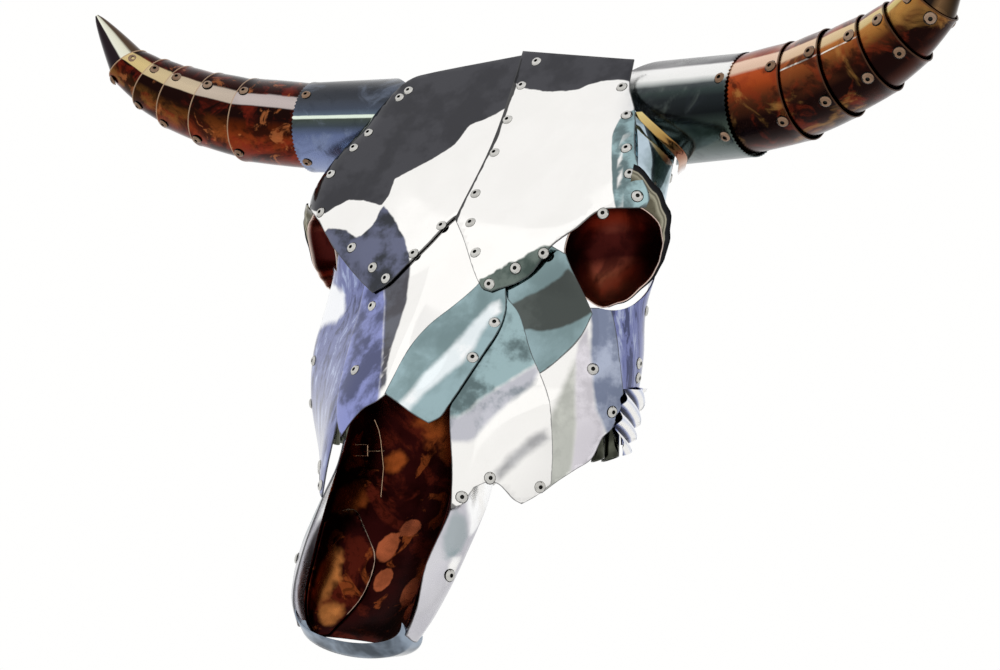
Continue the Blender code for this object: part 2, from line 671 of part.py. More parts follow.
def sheet_through(rows):
    """A sheet through rows of points, with the top row first."""
    shape = bmesh.new()
    grid = [[shape.verts.new(point) for point in row] for row in rows]
    for upper, lower in zip(grid, grid[1:]):
        for i in range(len(upper) - 1):
            shape.faces.new((upper[i], upper[i + 1], lower[i + 1], lower[i]))
    return shape


def facing_front(shape):
    """Turn a sheet so that its faces look to the front."""
    bmesh.ops.recalc_face_normals(shape, faces=shape.faces)
    if sum(face.normal.y * face.calc_area() for face in shape.faces) > 0:
        bmesh.ops.reverse_faces(shape, faces=shape.faces)
    return shape


def nose_lining(carrier):
    """Two copper sheets that line the nose; the lower one laps over the upper one."""
    upper = [trough_row(height) for height in UPPER_LINING]
    thicken(add_piece("nose_lining_upper", facing_front(sheet_through(upper)), DARK_COPPER,
                      carrier), COPPER_SHEET, False)
    lower = [trough_row(height, -LINING_LAP) for height in LOWER_LINING]
    thicken(add_piece("nose_lining_lower", facing_front(sheet_through(lower)), FLAMED_COPPER,
                      carrier), COPPER_SHEET, False)


def muzzle_lip(carrier):
    """The bent plate under the nose opening."""
    rows = []
    for half_width, front, end_height, middle_height in LIP_ROWS:
        row = []
        for step in range(LIP_STEPS + 1):
            angle = math.pi * step / LIP_STEPS
            drop = (end_height - middle_height) * math.sin(angle) ** 0.8
            row.append(Vector((half_width * math.cos(angle), front, end_height - drop)))
        rows.append(row)
    thicken(add_piece("muzzle_lip", facing_front(sheet_through(rows)), BLUED_STEEL, carrier),
            SHEET)


def molar_pleats(side, carrier):
    """Pleated steel strip that stands for the molars, along the jaw's lower rear edge."""
    rows = []
    for height in (PLEAT_TOP, (PLEAT_TOP + PLEAT_BOTTOM) / 2, PLEAT_BOTTOM):
        row = []
        for fold in range(2 * PLEAT_COUNT + 1):
            lift = PLEAT_BASE_LIFT + (PLEAT_DEPTH if fold % 2 else 0.0)
            reach = PLEAT_FIRST + fold * PLEAT_PITCH / 2
            row.append(on_form(head_path, height, reach, lift))
        rows.append(row)
    shape = sheet_through(rows)
    bmesh.ops.recalc_face_normals(shape, faces=shape.faces)
    if sum(face.normal.x for face in shape.faces) < 0:
        bmesh.ops.reverse_faces(shape, faces=shape.faces)
    name = "molar_pleats_" + SIDE_NAMES[side]
    thicken(add_piece(name, mirrored(shape, side), MIRROR_STEEL, carrier), COPPER_SHEET)


def molar_tubes(side, carrier):
    """Rolled tubes, open at the lower end, before the pleats."""
    for place, x, y, radius in MOLAR_TUBES:
        shape = bmesh.new()
        top = ring(shape, Vector((x, y, MOLAR_TOP)), Vector((0, 0, 1)), radius, MOLAR_SIDES)
        low = ring(shape, Vector((x, y, MOLAR_BOTTOM)), Vector((0, 0, 1)), radius,
                   MOLAR_SIDES)
        bridge_rings(shape, (top, low))
        face_outwards(shape)
        name = "molar_tube_%s_%s" % (place, SIDE_NAMES[side])
        thicken(add_piece(name, mirrored(shape, side), DARK_STEEL, carrier), SHEET, False)


def face_plates(carrier):
    """The plates of the face, from the lowest layer to the highest."""
    for side in (1, -1):
        hand = SIDE_NAMES[side]
        wide_cutter = socket_cutter(FLANGE_OUTER_RADIUS + CLEARANCE, side, carrier)
        rim_cutter = socket_cutter(FLANGE_INNER_RADIUS + CLEARANCE, side, carrier)
        temple = plate("temple_plate_" + hand, TEMPLE, TEAL_STEEL, carrier, TEMPLE_LAYER,
                       side)
        cut(temple, wide_cutter)
        jaw = plate("jaw_plate_" + hand, JAW, BLUED_STEEL, carrier, 2, side)
        cut(jaw, rim_cutter)
        if side > 0:
            cheek = plate("cheek_plate_right", CHEEK, MIRROR_STEEL, carrier, 3)
        else:
            cheek = plate("cheek_plate_left", WHOLE_CHEEK, BLUED_STEEL, carrier, 4, side)
        cut(cheek, rim_cutter)
        plate("muzzle_plate_" + hand, MUZZLE_SIDE, MIRROR_STEEL, carrier, BASE_LAYER, side,
              muzzle_path)
    plate("lacrimal_plate_right", LACRIMAL, TEAL_STEEL, carrier, 4)
    plate("maxilla_plate_right", MAXILLA, MIRROR_STEEL, carrier, 5)
    plate("nasal_plate_left", NASAL_LEFT, MIRROR_STEEL, carrier, 6, -1)
    plate("nasal_plate_right", NASAL_RIGHT, TEAL_STEEL, carrier, 7)
    plate("forehead_plate_left", FOREHEAD_LEFT, MIRROR_STEEL, carrier, 7.5, -1)
    plate("forehead_plate_right", FOREHEAD_RIGHT, MIRROR_STEEL, carrier, 8.5)


def build():
    """Every piece of the skull."""
    clear_scene()
    carrier = bpy.data.objects.new("skull", None)
    bpy.context.collection.objects.link(carrier)
    carrier.location = (0.0, -WALL_BACK, -HANGER_HEIGHT)
    back_of_head(carrier)
    crown(carrier)
    face_plates(carrier)
    nose_lining(carrier)
    muzzle_lip(carrier)
    for side in (1, -1):
        socket_cup(side, carrier)
        socket_flange(side, carrier)
        molar_pleats(side, carrier)
        molar_tubes(side, carrier)
        temple_flange(side, carrier)
        horn(side, carrier)


build()
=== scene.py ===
import math

import bmesh
import bpy
from bpy.props import FloatProperty, FloatVectorProperty, IntProperty, PointerProperty
from mathutils import Matrix, Vector


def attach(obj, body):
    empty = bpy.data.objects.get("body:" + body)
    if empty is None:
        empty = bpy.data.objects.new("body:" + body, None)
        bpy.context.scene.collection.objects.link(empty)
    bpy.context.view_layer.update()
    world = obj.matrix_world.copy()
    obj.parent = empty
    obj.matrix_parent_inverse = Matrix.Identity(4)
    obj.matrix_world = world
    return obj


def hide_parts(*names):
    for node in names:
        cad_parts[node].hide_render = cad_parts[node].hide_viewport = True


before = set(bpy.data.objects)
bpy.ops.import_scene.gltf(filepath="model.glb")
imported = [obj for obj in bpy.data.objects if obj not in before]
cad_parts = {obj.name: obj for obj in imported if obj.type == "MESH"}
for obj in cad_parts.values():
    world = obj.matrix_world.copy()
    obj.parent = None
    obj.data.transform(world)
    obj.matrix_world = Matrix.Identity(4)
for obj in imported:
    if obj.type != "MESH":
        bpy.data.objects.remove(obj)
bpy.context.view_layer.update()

bl_info = {
    "name": "Riveted steer skull",
    "version": (1, 0, 0),
    "blender": (4, 5, 0),
    "location": "3D View > Sidebar > Steer skull",
    "description": "Dresses the solids of a sheet-metal steer skull with its bent plates",
    "category": "Object",
}

# The poll, where the forehead plates meet at the top, in the object's frame: the wall is y = 0
POLL = Vector((0.0, -0.066, 0.070))

# Thickness of the sheets, and the layer of each plate: layers step outwards from the form
SHEET = 0.0012
COPPER_SHEET = 0.0010
LAYER_STEP = 0.0019
BASE_LAYER = 4
PLATE_LAYERS = {
    "forehead_plate_left": 7.1, "forehead_plate_right": 8.1, "nasal_plate_left": 6,
    "nasal_plate_right": 6.7, "maxilla_plate_right": 5, "lacrimal_plate_right": 4,
    "cheek_plate_left": 4, "cheek_plate_right": 3, "jaw_plate_left": 2, "jaw_plate_right": 2,
    "temple_plate_left": 3, "temple_plate_right": 3, "muzzle_plate_left": BASE_LAYER,
    "muzzle_plate_right": BASE_LAYER,
}

# The form of the head on one side, top to bottom: height, how far forward the middle line
# is, then the roof's shoulder, the crest, the side and the rear edge as (out, back)
HEAD_SECTIONS = (
    (0.020, 0.014, (0.060, 0.013), (0.112, 0.012), (0.136, 0.030), (0.128, 0.056)),
    (0.000, 0.000, (0.060, -0.001), (0.122, -0.002), (0.146, 0.016), (0.128, 0.055)),
    (-0.060, -0.043, (0.070, -0.044), (0.137, -0.046), (0.159, -0.012), (0.125, 0.053)),
    (-0.100, -0.071, (0.080, -0.073), (0.156, -0.075), (0.170, -0.048), (0.119, 0.047)),
    (-0.140, -0.100, (0.085, -0.101), (0.152, -0.099), (0.174, -0.070), (0.116, 0.032)),
    (-0.180, -0.128, (0.080, -0.127), (0.112, -0.121), (0.168, -0.058), (0.122, 0.012)),
    (-0.220, -0.155, (0.060, -0.142), (0.142, -0.100), (0.156, -0.060), (0.128, -0.008)),
    (-0.260, -0.183, (0.058, -0.167), (0.153, -0.103), (0.156, -0.061), (0.130, -0.018)),
    (-0.300, -0.206, (0.056, -0.190), (0.152, -0.105), (0.150, -0.062), (0.128, -0.028)),
    (-0.340, -0.213, (0.062, -0.199), (0.144, -0.101), (0.142, -0.068), (0.124, -0.040)),
    (-0.390, -0.224, (0.063, -0.210), (0.129, -0.105), (0.127, -0.074), (0.118, -0.055)),
)
HEAD_BEND_RADII = (0.060, 0.020, 0.022)

# The muzzle: height, how far forward and out its rim is, its outer corner, side and rear edge
MUZZLE_SECTIONS = (
    (-0.320, (0.052, -0.182), (0.061, -0.171), (0.060, -0.130), (0.050, -0.112)),
    (-0.350, (0.056, -0.189), (0.065, -0.177), (0.064, -0.142), (0.052, -0.122)),
    (-0.375, (0.060, -0.202), (0.073, -0.186), (0.068, -0.155), (0.050, -0.136)),
    (-0.415, (0.058, -0.229), (0.077, -0.209), (0.066, -0.182), (0.045, -0.164)),
    (-0.450, (0.057, -0.241), (0.068, -0.230), (0.058, -0.204), (0.037, -0.190)),
    (-0.478, (0.043, -0.246), (0.052, -0.238), (0.045, -0.221), (0.030, -0.211)),
)
MUZZLE_BEND_RADII = (0.010, 0.016)
# The right side is slimmer round one height: how much, where, how widely, share at each corner
MUZZLE_SLIMMING = 0.0045
MUZZLE_SLIMMING_HEIGHT = -0.42
MUZZLE_SLIMMING_SPREAD = 0.055
MUZZLE_SLIMMING_SHARES = (0.0, 0.6, 1.0, 1.0)

# The copper trough inside the nose: height, half width and place of its front edge, depth
LINING_SECTIONS = (
    (-0.285, 0.047, -0.166, 0.040),
    (-0.310, 0.050, -0.178, 0.050),
    (-0.340, 0.054, -0.186, 0.056),
    (-0.380, 0.057, -0.202, 0.058),
    (-0.415, 0.053, -0.222, 0.054),
    (-0.445, 0.051, -0.235, 0.043),
    (-0.466, 0.0455, -0.240, 0.026),
    (-0.477, 0.034, -0.242, 0.008),
)

# Eye sockets: centres as (out, back, up) from the middle line, and the way the right one looks
SOCKET_CENTRES = {1: Vector((0.1390, -0.0880, -0.1765)), -1: Vector((0.1530, -0.0860, -0.1772))}
SOCKET_FACING = Vector((0.60, -0.78, -0.16)).normalized()
SOCKET_RADIUS = 0.0403
SOCKET_DEPTH = 0.038

# Right horn: root, end of the steel collar, end of each copper band, point of the tip
HORN_LINE = (
    (0.122, 0.008, -0.054),
    (0.222, -0.030, -0.055),
    (0.276, -0.041, -0.047),
    (0.313, -0.055, -0.037),
    (0.346, -0.064, -0.025),
    (0.370, -0.073, -0.012),
    (0.393, -0.083, 0.006),
    (0.422, -0.099, 0.038),
)
# Where the left horn differs in the photograph: its collar's end and its point
LEFT_HORN_POINTS = {1: (0.2060, -0.0240, -0.0550), 7: (0.4200, -0.0985, 0.0520)}
RIGHT_HORN_POINTS = {7: (0.4225, -0.0990, 0.0440)}
HORN_RADII = (0.0430, 0.0405, 0.0385, 0.0350, 0.0310, 0.0265, 0.0205, 0.0018)
# Bands: how far they overlap, how much smaller their roots are, and the share of the
# line's forward run that their cuts follow
BAND_OVERLAP = 0.006
BAND_INSET = 0.0026
RING_TURN = 0.4
# The search for the place where a line from the horn meets the temple
MEETING_REACH = 1.25
MEETING_STEPS = 40
MEETING_HALVINGS = 8

# Plates as flat patterns on the form: (height, distance out from the middle line)
FOREHEAD_RIGHT = (
    (0.000, 0.000), (-0.016, 0.116), (-0.040, 0.121), (-0.065, 0.134), (-0.116, 0.157),
    (-0.132, 0.166), (-0.139, 0.165), (-0.145, 0.136), (-0.159, 0.120), (-0.173, 0.103),
    (-0.195, 0.085), (-0.209, 0.058), (-0.207, 0.050), (-0.173, 0.024), (-0.152, 0.004),
    (-0.086, 0.009), (-0.026, 0.004),
)
FOREHEAD_LEFT = (
    (-0.001, -0.012), (-0.016, 0.100), (-0.026, 0.116), (-0.083, 0.145), (-0.132, 0.166),
    (-0.146, 0.143), (-0.172, 0.111), (-0.206, 0.064), (-0.211, 0.056), (-0.202, 0.038),
    (-0.173, 0.015), (-0.150, 0.000), (-0.143, -0.016), (-0.086, -0.020), (-0.026, -0.015),
)
NASAL_RIGHT = (
    (-0.196, 0.050), (-0.207, 0.042), (-0.222, 0.029), (-0.238, 0.015), (-0.258, 0.006),
    (-0.291, 0.001), (-0.297, 0.013), (-0.304, 0.026), (-0.311, 0.041), (-0.306, 0.049),
    (-0.298, 0.053), (-0.286, 0.058), (-0.261, 0.066), (-0.241, 0.072), (-0.223, 0.072),
    (-0.196, 0.066),
)
NASAL_LEFT = (
    (-0.138, 0.006), (-0.160, 0.030), (-0.190, 0.056), (-0.198, 0.070), (-0.225, 0.074),
    (-0.262, 0.068), (-0.287, 0.062), (-0.307, 0.054), (-0.325, 0.041), (-0.312, 0.030),
    (-0.302, 0.018), (-0.293, 0.000), (-0.262, -0.016), (-0.238, -0.028), (-0.222, -0.040),
    (-0.205, -0.055), (-0.190, -0.050), (-0.160, -0.030), (-0.138, -0.010),
)
MAXILLA = (
    (-0.190, 0.060), (-0.209, 0.052), (-0.250, 0.050), (-0.285, 0.052), (-0.299, 0.054),
    (-0.345, 0.062), (-0.374, 0.065), (-0.371, 0.073), (-0.358, 0.080), (-0.354, 0.090),
    (-0.356, 0.100), (-0.367, 0.113), (-0.371, 0.121), (-0.365, 0.132), (-0.356, 0.143),
    (-0.322, 0.138), (-0.291, 0.129), (-0.258, 0.105), (-0.248, 0.098), (-0.225, 0.083),
    (-0.209, 0.068), (-0.195, 0.064),
)
LACRIMAL = (
    (-0.168, 0.095), (-0.186, 0.080), (-0.200, 0.060), (-0.235, 0.070), (-0.275, 0.095),
    (-0.270, 0.115), (-0.252, 0.131), (-0.240, 0.137), (-0.223, 0.140), (-0.205, 0.128),
    (-0.190, 0.119), (-0.176, 0.112),
)
CHEEK = (
    (-0.218, 0.118), (-0.255, 0.096), (-0.300, 0.112), (-0.345, 0.122), (-0.361, 0.128),
    (-0.362, 0.140), (-0.354, 0.150), (-0.345, 0.163), (-0.337, 0.174), (-0.320, 0.180),
    (-0.312, 0.188), (-0.291, 0.194), (-0.267, 0.180), (-0.240, 0.166), (-0.218, 0.154),
)
WHOLE_CHEEK = (MAXILLA[1:15] + CHEEK[6:15] + ((-0.196, 0.166), (-0.184, 0.146))
               + LACRIMAL[10:12] + LACRIMAL[0:2])
JAW = (
    (-0.190, 0.186), (-0.218, 0.146), (-0.240, 0.156), (-0.267, 0.168), (-0.300, 0.180),
    (-0.312, 0.188), (-0.316, 0.204), (-0.328, 0.212), (-0.330, 0.226), (-0.316, 0.238),
    (-0.290, 0.246), (-0.252, 0.246), (-0.215, 0.240), (-0.190, 0.240),
)
TEMPLE = (
    (-0.026, 0.108), (-0.060, 0.122), (-0.100, 0.140), (-0.148, 0.160), (-0.170, 0.196),
    (-0.170, 0.236), (-0.120, 0.246), (-0.090, 0.244), (-0.050, 0.222), (-0.026, 0.204),
)
MUZZLE_SIDE = (
    (-0.330, 0.006), (-0.362, 0.002), (-0.415, 0.000), (-0.450, 0.000), (-0.466, 0.001),
    (-0.472, 0.014), (-0.468, 0.040), (-0.450, 0.056), (-0.415, 0.072), (-0.375, 0.080),
    (-0.335, 0.070), (-0.327, 0.040),
)

# Tones in the polish, each the outline of an area on its plate: (height, distance out); many are
# painted light, marked below each
# Painted reflection: dark slate areas on the left brow, standing for dark surroundings mirrored in
# the steel
FOREHEAD_LEFT_SLATE_REFLECTION = (
    (0.0100, -0.0300), (0.0100, 0.0480), (-0.0100, 0.1200), (-0.0392, 0.1400),
    (-0.0869, 0.1600), (-0.1308, 0.1796), (-0.1436, 0.1350), (-0.1370, 0.1254),
    (-0.1319, 0.1150), (-0.1332, 0.1014), (-0.1363, 0.0840), (-0.1382, 0.0778),
    (-0.1276, 0.0750), (-0.1151, 0.0764), (-0.1082, 0.0655), (-0.0969, 0.0467),
    (-0.0848, 0.0294), (-0.0676, 0.0234), (-0.0585, 0.0016), (-0.0466, -0.0182),
    (-0.0400, -0.0300),
)
# Painted reflection: the dark blue-grey area low on the left brow
FOREHEAD_LEFT_GREY_REFLECTION = (
    (-0.1382, 0.0747), (-0.1509, 0.0579), (-0.1656, 0.0413), (-0.1790, 0.0296),
    (-0.1913, 0.0228), (-0.2150, 0.0257), (-0.2233, 0.0499), (-0.1934, 0.1095),
    (-0.1604, 0.1298), (-0.1563, 0.1243), (-0.1589, 0.1060), (-0.1667, 0.0868),
    (-0.1550, 0.0774), (-0.1408, 0.0775),
)
# Painted reflection: the dark slate area along the right brow's top
FOREHEAD_RIGHT_SLATE_REFLECTION = (
    (0.0100, 0.0000), (0.0100, 0.0416), (0.0050, 0.0842), (-0.0100, 0.1331),
    (-0.0422, 0.1300), (-0.0376, 0.1222), (-0.0342, 0.1114), (-0.0341, 0.0961),
    (-0.0378, 0.0813), (-0.0416, 0.0694), (-0.0413, 0.0466), (-0.0370, 0.0208),
    (-0.0327, 0.0118), (-0.0280, -0.0050),
)
# Painted reflection: the dark green area along the right brow's lower edge
FOREHEAD_RIGHT_GREEN_REFLECTION = (
    (-0.2010, 0.0464), (-0.1975, 0.0528), (-0.1933, 0.0597), (-0.1923, 0.0639),
    (-0.1864, 0.0704), (-0.1866, 0.0755), (-0.1837, 0.0799), (-0.1788, 0.0849),
    (-0.1770, 0.0914), (-0.1732, 0.0982), (-0.1715, 0.1070), (-0.1701, 0.1116),
    (-0.1667, 0.1173), (-0.1640, 0.1223), (-0.1785, 0.1200), (-0.2105, 0.0901),
    (-0.2226, 0.0542),
)
FOREHEAD_RIGHT_TEAL = (
    (-0.0587, 0.1355), (-0.0642, 0.1300), (-0.0689, 0.1254), (-0.0826, 0.1242),
    (-0.1005, 0.1307), (-0.1214, 0.1393), (-0.1380, 0.1448), (-0.1487, 0.1476),
    (-0.1486, 0.1711), (-0.1279, 0.1757), (-0.0981, 0.1653),
)
# Painted shadow: a dark band beside the lap seam where the right brow plate lies over the left
FOREHEAD_RIGHT_SEAM_SHADOW = (
    (-0.006, -0.008), (-0.026, -0.004), (-0.086, 0.001), (-0.152, -0.004), (-0.156, 0.0085),
    (-0.148, 0.0068), (-0.118, 0.0093), (-0.086, 0.0127), (-0.060, 0.0114), (-0.040, 0.0096),
    (-0.026, 0.0074), (-0.006, 0.0030),
)
# Painted highlight: the glint on the teal part of the right brow
FOREHEAD_RIGHT_GLINT = (
    (-0.0823, 0.1410), (-0.0868, 0.1383), (-0.0984, 0.1399), (-0.1133, 0.1450),
    (-0.1296, 0.1490), (-0.1415, 0.1500), (-0.1420, 0.1471), (-0.1300, 0.1460),
    (-0.1132, 0.1409), (-0.0974, 0.1359), (-0.0856, 0.1347), (-0.0803, 0.1379),
)
# Painted reflection: the grey band on the left nose plate
NASAL_LEFT_GREY_REFLECTION = (
    (-0.1600, 0.0800), (-0.1998, 0.0487), (-0.2362, 0.0319), (-0.2621, 0.0163),
    (-0.2943, 0.0021), (-0.2832, 0.0005), (-0.2619, 0.0088), (-0.2399, 0.0119),
    (-0.2196, 0.0148), (-0.1923, 0.0232), (-0.1673, 0.0350),
)
NASAL_LEFT_BLUE = ((-0.1799, 0.0995),) + NASAL_LEFT_GREY_REFLECTION[1:5] + (
    (-0.3050, 0.0046), (-0.3207, 0.0198), (-0.3385, 0.0347), (-0.3298, 0.0531),
    (-0.2666, 0.0827),
)
# Painted highlight: the pale oval on the left cheek
CHEEK_LEFT_OVAL_HIGHLIGHT = (
    (-0.1900, 0.1990), (-0.1990, 0.1550), (-0.2020, 0.1250), (-0.2090, 0.1090),
    (-0.2255, 0.1066), (-0.2342, 0.1212), (-0.2370, 0.1439), (-0.2460, 0.1712),
    (-0.2700, 0.1990),
)
MAXILLA_TEAL = (
    (-0.3053, 0.0455), (-0.3052, 0.0607), (-0.2990, 0.0701), (-0.2906, 0.0755),
    (-0.2828, 0.0853), (-0.2733, 0.0978), (-0.2654, 0.1076), (-0.2530, 0.1229),
    (-0.2297, 0.1068), (-0.1800, 0.0891), (-0.1800, 0.0400), (-0.2622, 0.0400),
)
MAXILLA_GREY = MAXILLA_TEAL[:7] + (
    (-0.2652, 0.1138), (-0.2745, 0.1130), (-0.2799, 0.1125), (-0.2892, 0.1029),
    (-0.2954, 0.0953), (-0.3076, 0.0861), (-0.3138, 0.0800), (-0.3221, 0.0749),
    (-0.3237, 0.0699), (-0.3232, 0.0480),
)
MAXILLA_STREAK = (
    (-0.3137, 0.1314), (-0.3213, 0.1350), (-0.3308, 0.1209), (-0.3447, 0.1068),
    (-0.3523, 0.0998), (-0.3477, 0.0934), (-0.3371, 0.1016), (-0.3254, 0.1138),
    (-0.3169, 0.1231),
)
LACRIMAL_DARK = (
    (-0.2190, 0.0701), (-0.2065, 0.0917), (-0.1951, 0.1094), (-0.1871, 0.1141),
    (-0.1965, 0.1251), (-0.2193, 0.1438), (-0.2333, 0.1231), (-0.2376, 0.1058),
    (-0.2371, 0.0807),
)
# Painted shade: the grey band across the right cheek's curve
CHEEK_RIGHT_SHADE_BAND = (
    (-0.3069, 0.1334), (-0.2866, 0.1364), (-0.2733, 0.1373), (-0.2552, 0.1381),
    (-0.2825, 0.1485), (-0.3092, 0.1562), (-0.3423, 0.1598), (-0.3677, 0.1501),
    (-0.3723, 0.1419),
)
CHEEK_RIGHT_PINK = (
    (-0.2552, 0.1381), (-0.2164, 0.1329), (-0.2246, 0.1353), (-0.2551, 0.1498),
    (-0.2957, 0.1672), (-0.3091, 0.1777), (-0.3314, 0.1857), (-0.3492, 0.1599),
    (-0.3092, 0.1562),
)
# Painted reflection: the blue area on the right cheek's side
CHEEK_RIGHT_BLUE_REFLECTION = (
    (-0.2115, 0.1343), (-0.2551, 0.1498), (-0.2957, 0.1672), (-0.3091, 0.1777),
    (-0.3241, 0.1877), (-0.2903, 0.2100), (-0.2588, 0.1857), (-0.2064, 0.1593),
)
# Painted highlight: the curved glint down the teal nose plate
NASAL_RIGHT_GLINT = (
    (-0.2152, 0.0642), (-0.2210, 0.0578), (-0.2371, 0.0490), (-0.2491, 0.0443),
    (-0.2631, 0.0354), (-0.2742, 0.0275), (-0.2893, 0.0209), (-0.2988, 0.0141),
    (-0.3088, 0.0105), (-0.3090, 0.0189), (-0.2963, 0.0273), (-0.2859, 0.0359),
    (-0.2767, 0.0443), (-0.2656, 0.0532), (-0.2525, 0.0588), (-0.2408, 0.0597),
    (-0.2309, 0.0640), (-0.2238, 0.0703),
)
# Painted shadow on the muzzle plates
MUZZLE_SHADOW = (
    (-0.374, 0.004), (-0.382, 0.016), (-0.394, 0.0255), (-0.408, 0.0245), (-0.411, 0.014),
    (-0.403, 0.008), (-0.392, 0.004),
)
# Painted highlights on the muzzle plates: a broad shine and a small spark
MUZZLE_SHINE = (
    (-0.340, 0.012), (-0.372, 0.013), (-0.385, 0.022), (-0.395, 0.028), (-0.392, 0.040),
    (-0.360, 0.060), (-0.335, 0.050),
)
MUZZLE_SPARK = ((-0.410, 0.017), (-0.409, 0.029), (-0.420, 0.026), (-0.430, 0.021))

# Rivet places: (height, distance out) on each plate
MAXILLA_RIVETS = ((-0.3652, 0.0719), (-0.3507, 0.0914), (-0.3579, 0.1339))
JAW_RIVETS = ((-0.2200, 0.2080), (-0.2620, 0.2080), (-0.2740, 0.2140))
TEMPLE_RIVETS = ((-0.0600, 0.2000), (-0.1100, 0.2300))
MUZZLE_RIVETS = ((-0.4225, 0.0215), (-0.3560, 0.0560))
RIVETS = {
    "forehead_plate_left": (
        (-0.0308, 0.1053), (-0.0373, 0.1115), (-0.0704, 0.1270), (-0.0842, 0.1353),
        (-0.1080, 0.1470), (-0.1418, 0.1409), (-0.1737, 0.0905), (-0.1901, 0.0615),
        (-0.1994, 0.0444), (-0.1799, 0.0242), (-0.1566, 0.0080)),
    "forehead_plate_right": (
        (-0.0116, 0.0193), (-0.0338, 0.0143), (-0.0652, 0.0148), (-0.0948, 0.0157),
        (-0.1308, 0.0142), (-0.1556, 0.0212), (-0.1801, 0.0372), (-0.2029, 0.0557),
        (-0.1898, 0.0757), (-0.1784, 0.0973), (-0.1471, 0.1374), (-0.0411, 0.1153),
        (-0.0669, 0.1290), (-0.0956, 0.1420), (-0.1164, 0.1508), (-0.1324, 0.1581)),
    "nasal_plate_right": ((-0.2340, 0.0669), (-0.2614, 0.0600)),
    "nasal_plate_left": ((-0.2218, 0.0554), (-0.2740, 0.0453)),
    "cheek_plate_left": ((-0.2679, 0.1600),) + MAXILLA_RIVETS + ((-0.3050, 0.1780),),
    "cheek_plate_right": ((-0.2660, 0.1551), (-0.2998, 0.1839)),
    "maxilla_plate_right": MAXILLA_RIVETS,
    "jaw_plate_right": JAW_RIVETS, "jaw_plate_left": JAW_RIVETS,
    "temple_plate_right": TEMPLE_RIVETS, "temple_plate_left": TEMPLE_RIVETS,
    "muzzle_plate_right": MUZZLE_RIVETS, "muzzle_plate_left": MUZZLE_RIVETS,
}

# How fine the sheets are cut before they are bent, and what counts as zero in a cut
PLATE_CELL = 0.005
FIELD_TINY = 1e-6
# Outlines keep corners that turn more than this; steps of an outline and of a bend
CORNER_ANGLE = math.radians(38)
OUTLINE_STEPS = 5
ARC_STEPS = 10
# Longest share of a straight run that a bend takes from it
BEND_SHARE = 0.45
# Steps of a path shorter than this are passed over
SHORT_STEP = 1e-9
# Steps along and up the form over which its normal is measured
REACH_STEP = 0.003
HEIGHT_STEP = 0.002
# Cut edges sharper than this are rounded
RIM_ANGLE = math.radians(60)
# The dark line along a plate's rim, as distances from the edge
RIM_START = 0.0002
RIM_NARROW = 0.0005
RIM_WIDE = 0.0014
RIM_STRENGTH = 0.85
# Distance from the rim given where the rim's line can't reach
FAR_FROM_RIM = 0.01
# Wear of the sheets: what scratches add to the roughness, and the depth of the dents
SCRATCH_ROUGHNESS = 0.16
DENT_DEPTH = 0.004

SIDE_NAMES = {1: "right", -1: "left"}


class SkullSettings(bpy.types.PropertyGroup):
    """Sizes and colours that a maker would change."""

    rivet_diameter: FloatProperty(
        name="Rivet head", description="Diameter of a pop rivet's head",
        default=0.0090, unit="LENGTH")
    rivet_height: FloatProperty(
        name="Rivet height", description="How far a rivet head stands out",
        default=0.0019, unit="LENGTH")
    rivet_sides: IntProperty(
        name="Rivet sides", description="Sides of a rivet head", default=14)
    rim_bevel: FloatProperty(
        name="Rim rounding", description="Rounding of the sheets' cut edges",
        default=0.00035, unit="LENGTH")
    tooth_pitch: FloatProperty(
        name="Tooth pitch", description="Distance between the teeth of a pinked edge",
        default=0.0038, unit="LENGTH")
    tooth_depth: FloatProperty(
        name="Tooth depth", description="Depth of the teeth of a pinked edge",
        default=0.0016, unit="LENGTH")
    mirror_colour: FloatVectorProperty(
        name="Mirror steel", description="Colour of bright polished steel",
        subtype="COLOR", default=(0.925, 0.91, 0.885))
    # Painted reflection: the slate tone stands for dark surroundings mirrored in the polished
    # steel; the crown also takes it, doubled, as its base
    slate_reflection_colour: FloatVectorProperty(
        name="Slate reflection", description="Dark reflection painted into the polish",
        subtype="COLOR", default=(0.047, 0.047, 0.053))
    blue_colour: FloatVectorProperty(
        name="Blued steel", description="Heat-blued steel",
        subtype="COLOR", default=(0.175, 0.195, 0.385))
    teal_colour: FloatVectorProperty(
        name="Teal steel", description="Blue-green heat tint",
        subtype="COLOR", default=(0.19, 0.27, 0.28))
    copper_colour: FloatVectorProperty(
        name="Flamed copper", description="Orange of the flamed copper",
        subtype="COLOR", default=(0.36, 0.060, 0.014))
    dark_copper_colour: FloatVectorProperty(
        name="Dark copper", description="Dark red of the flamed copper",
        subtype="COLOR", default=(0.016, 0.0022, 0.0020))


def settings():
    """The scene's sizes and colours."""
    return bpy.context.scene.skull_settings


# Form

def flatten(row):
    """A section's numbers in one list."""
    flat = []
    for item in row:
        flat.extend(item if isinstance(item, tuple) else (item,))
    return flat


def curve_between(start, rise_in, end, rise_out, t):
    """A smooth curve from one value to the next, with given rises, at a share of the way."""
    return ((2 * t**3 - 3 * t**2 + 1) * start + (t**3 - 2 * t**2 + t) * rise_in
            + (3 * t**2 - 2 * t**3) * end + (t**3 - t**2) * rise_out)


def smooth_between(sections, height):
    """Values of a section at any height, on a smooth curve through the given ones."""
    rows = sorted((row[0], flatten(row[1:])) for row in sections)
    heights = [row[0] for row in rows]
    last = len(rows) - 2
    first = max(0, min(last, sum(1 for h in heights if h <= height) - 1))
    span = heights[first + 1] - heights[first]
    t = (height - heights[first]) / span

    def slope(index, item):
        low, high = max(index - 1, 0), min(index + 1, last + 1)
        return (rows[high][1][item] - rows[low][1][item]) / (heights[high] - heights[low])

    return [curve_between(start, slope(first, item) * span, end, slope(first + 1, item) * span, t)
            for item, (start, end) in enumerate(zip(rows[first][1], rows[first + 1][1]))]


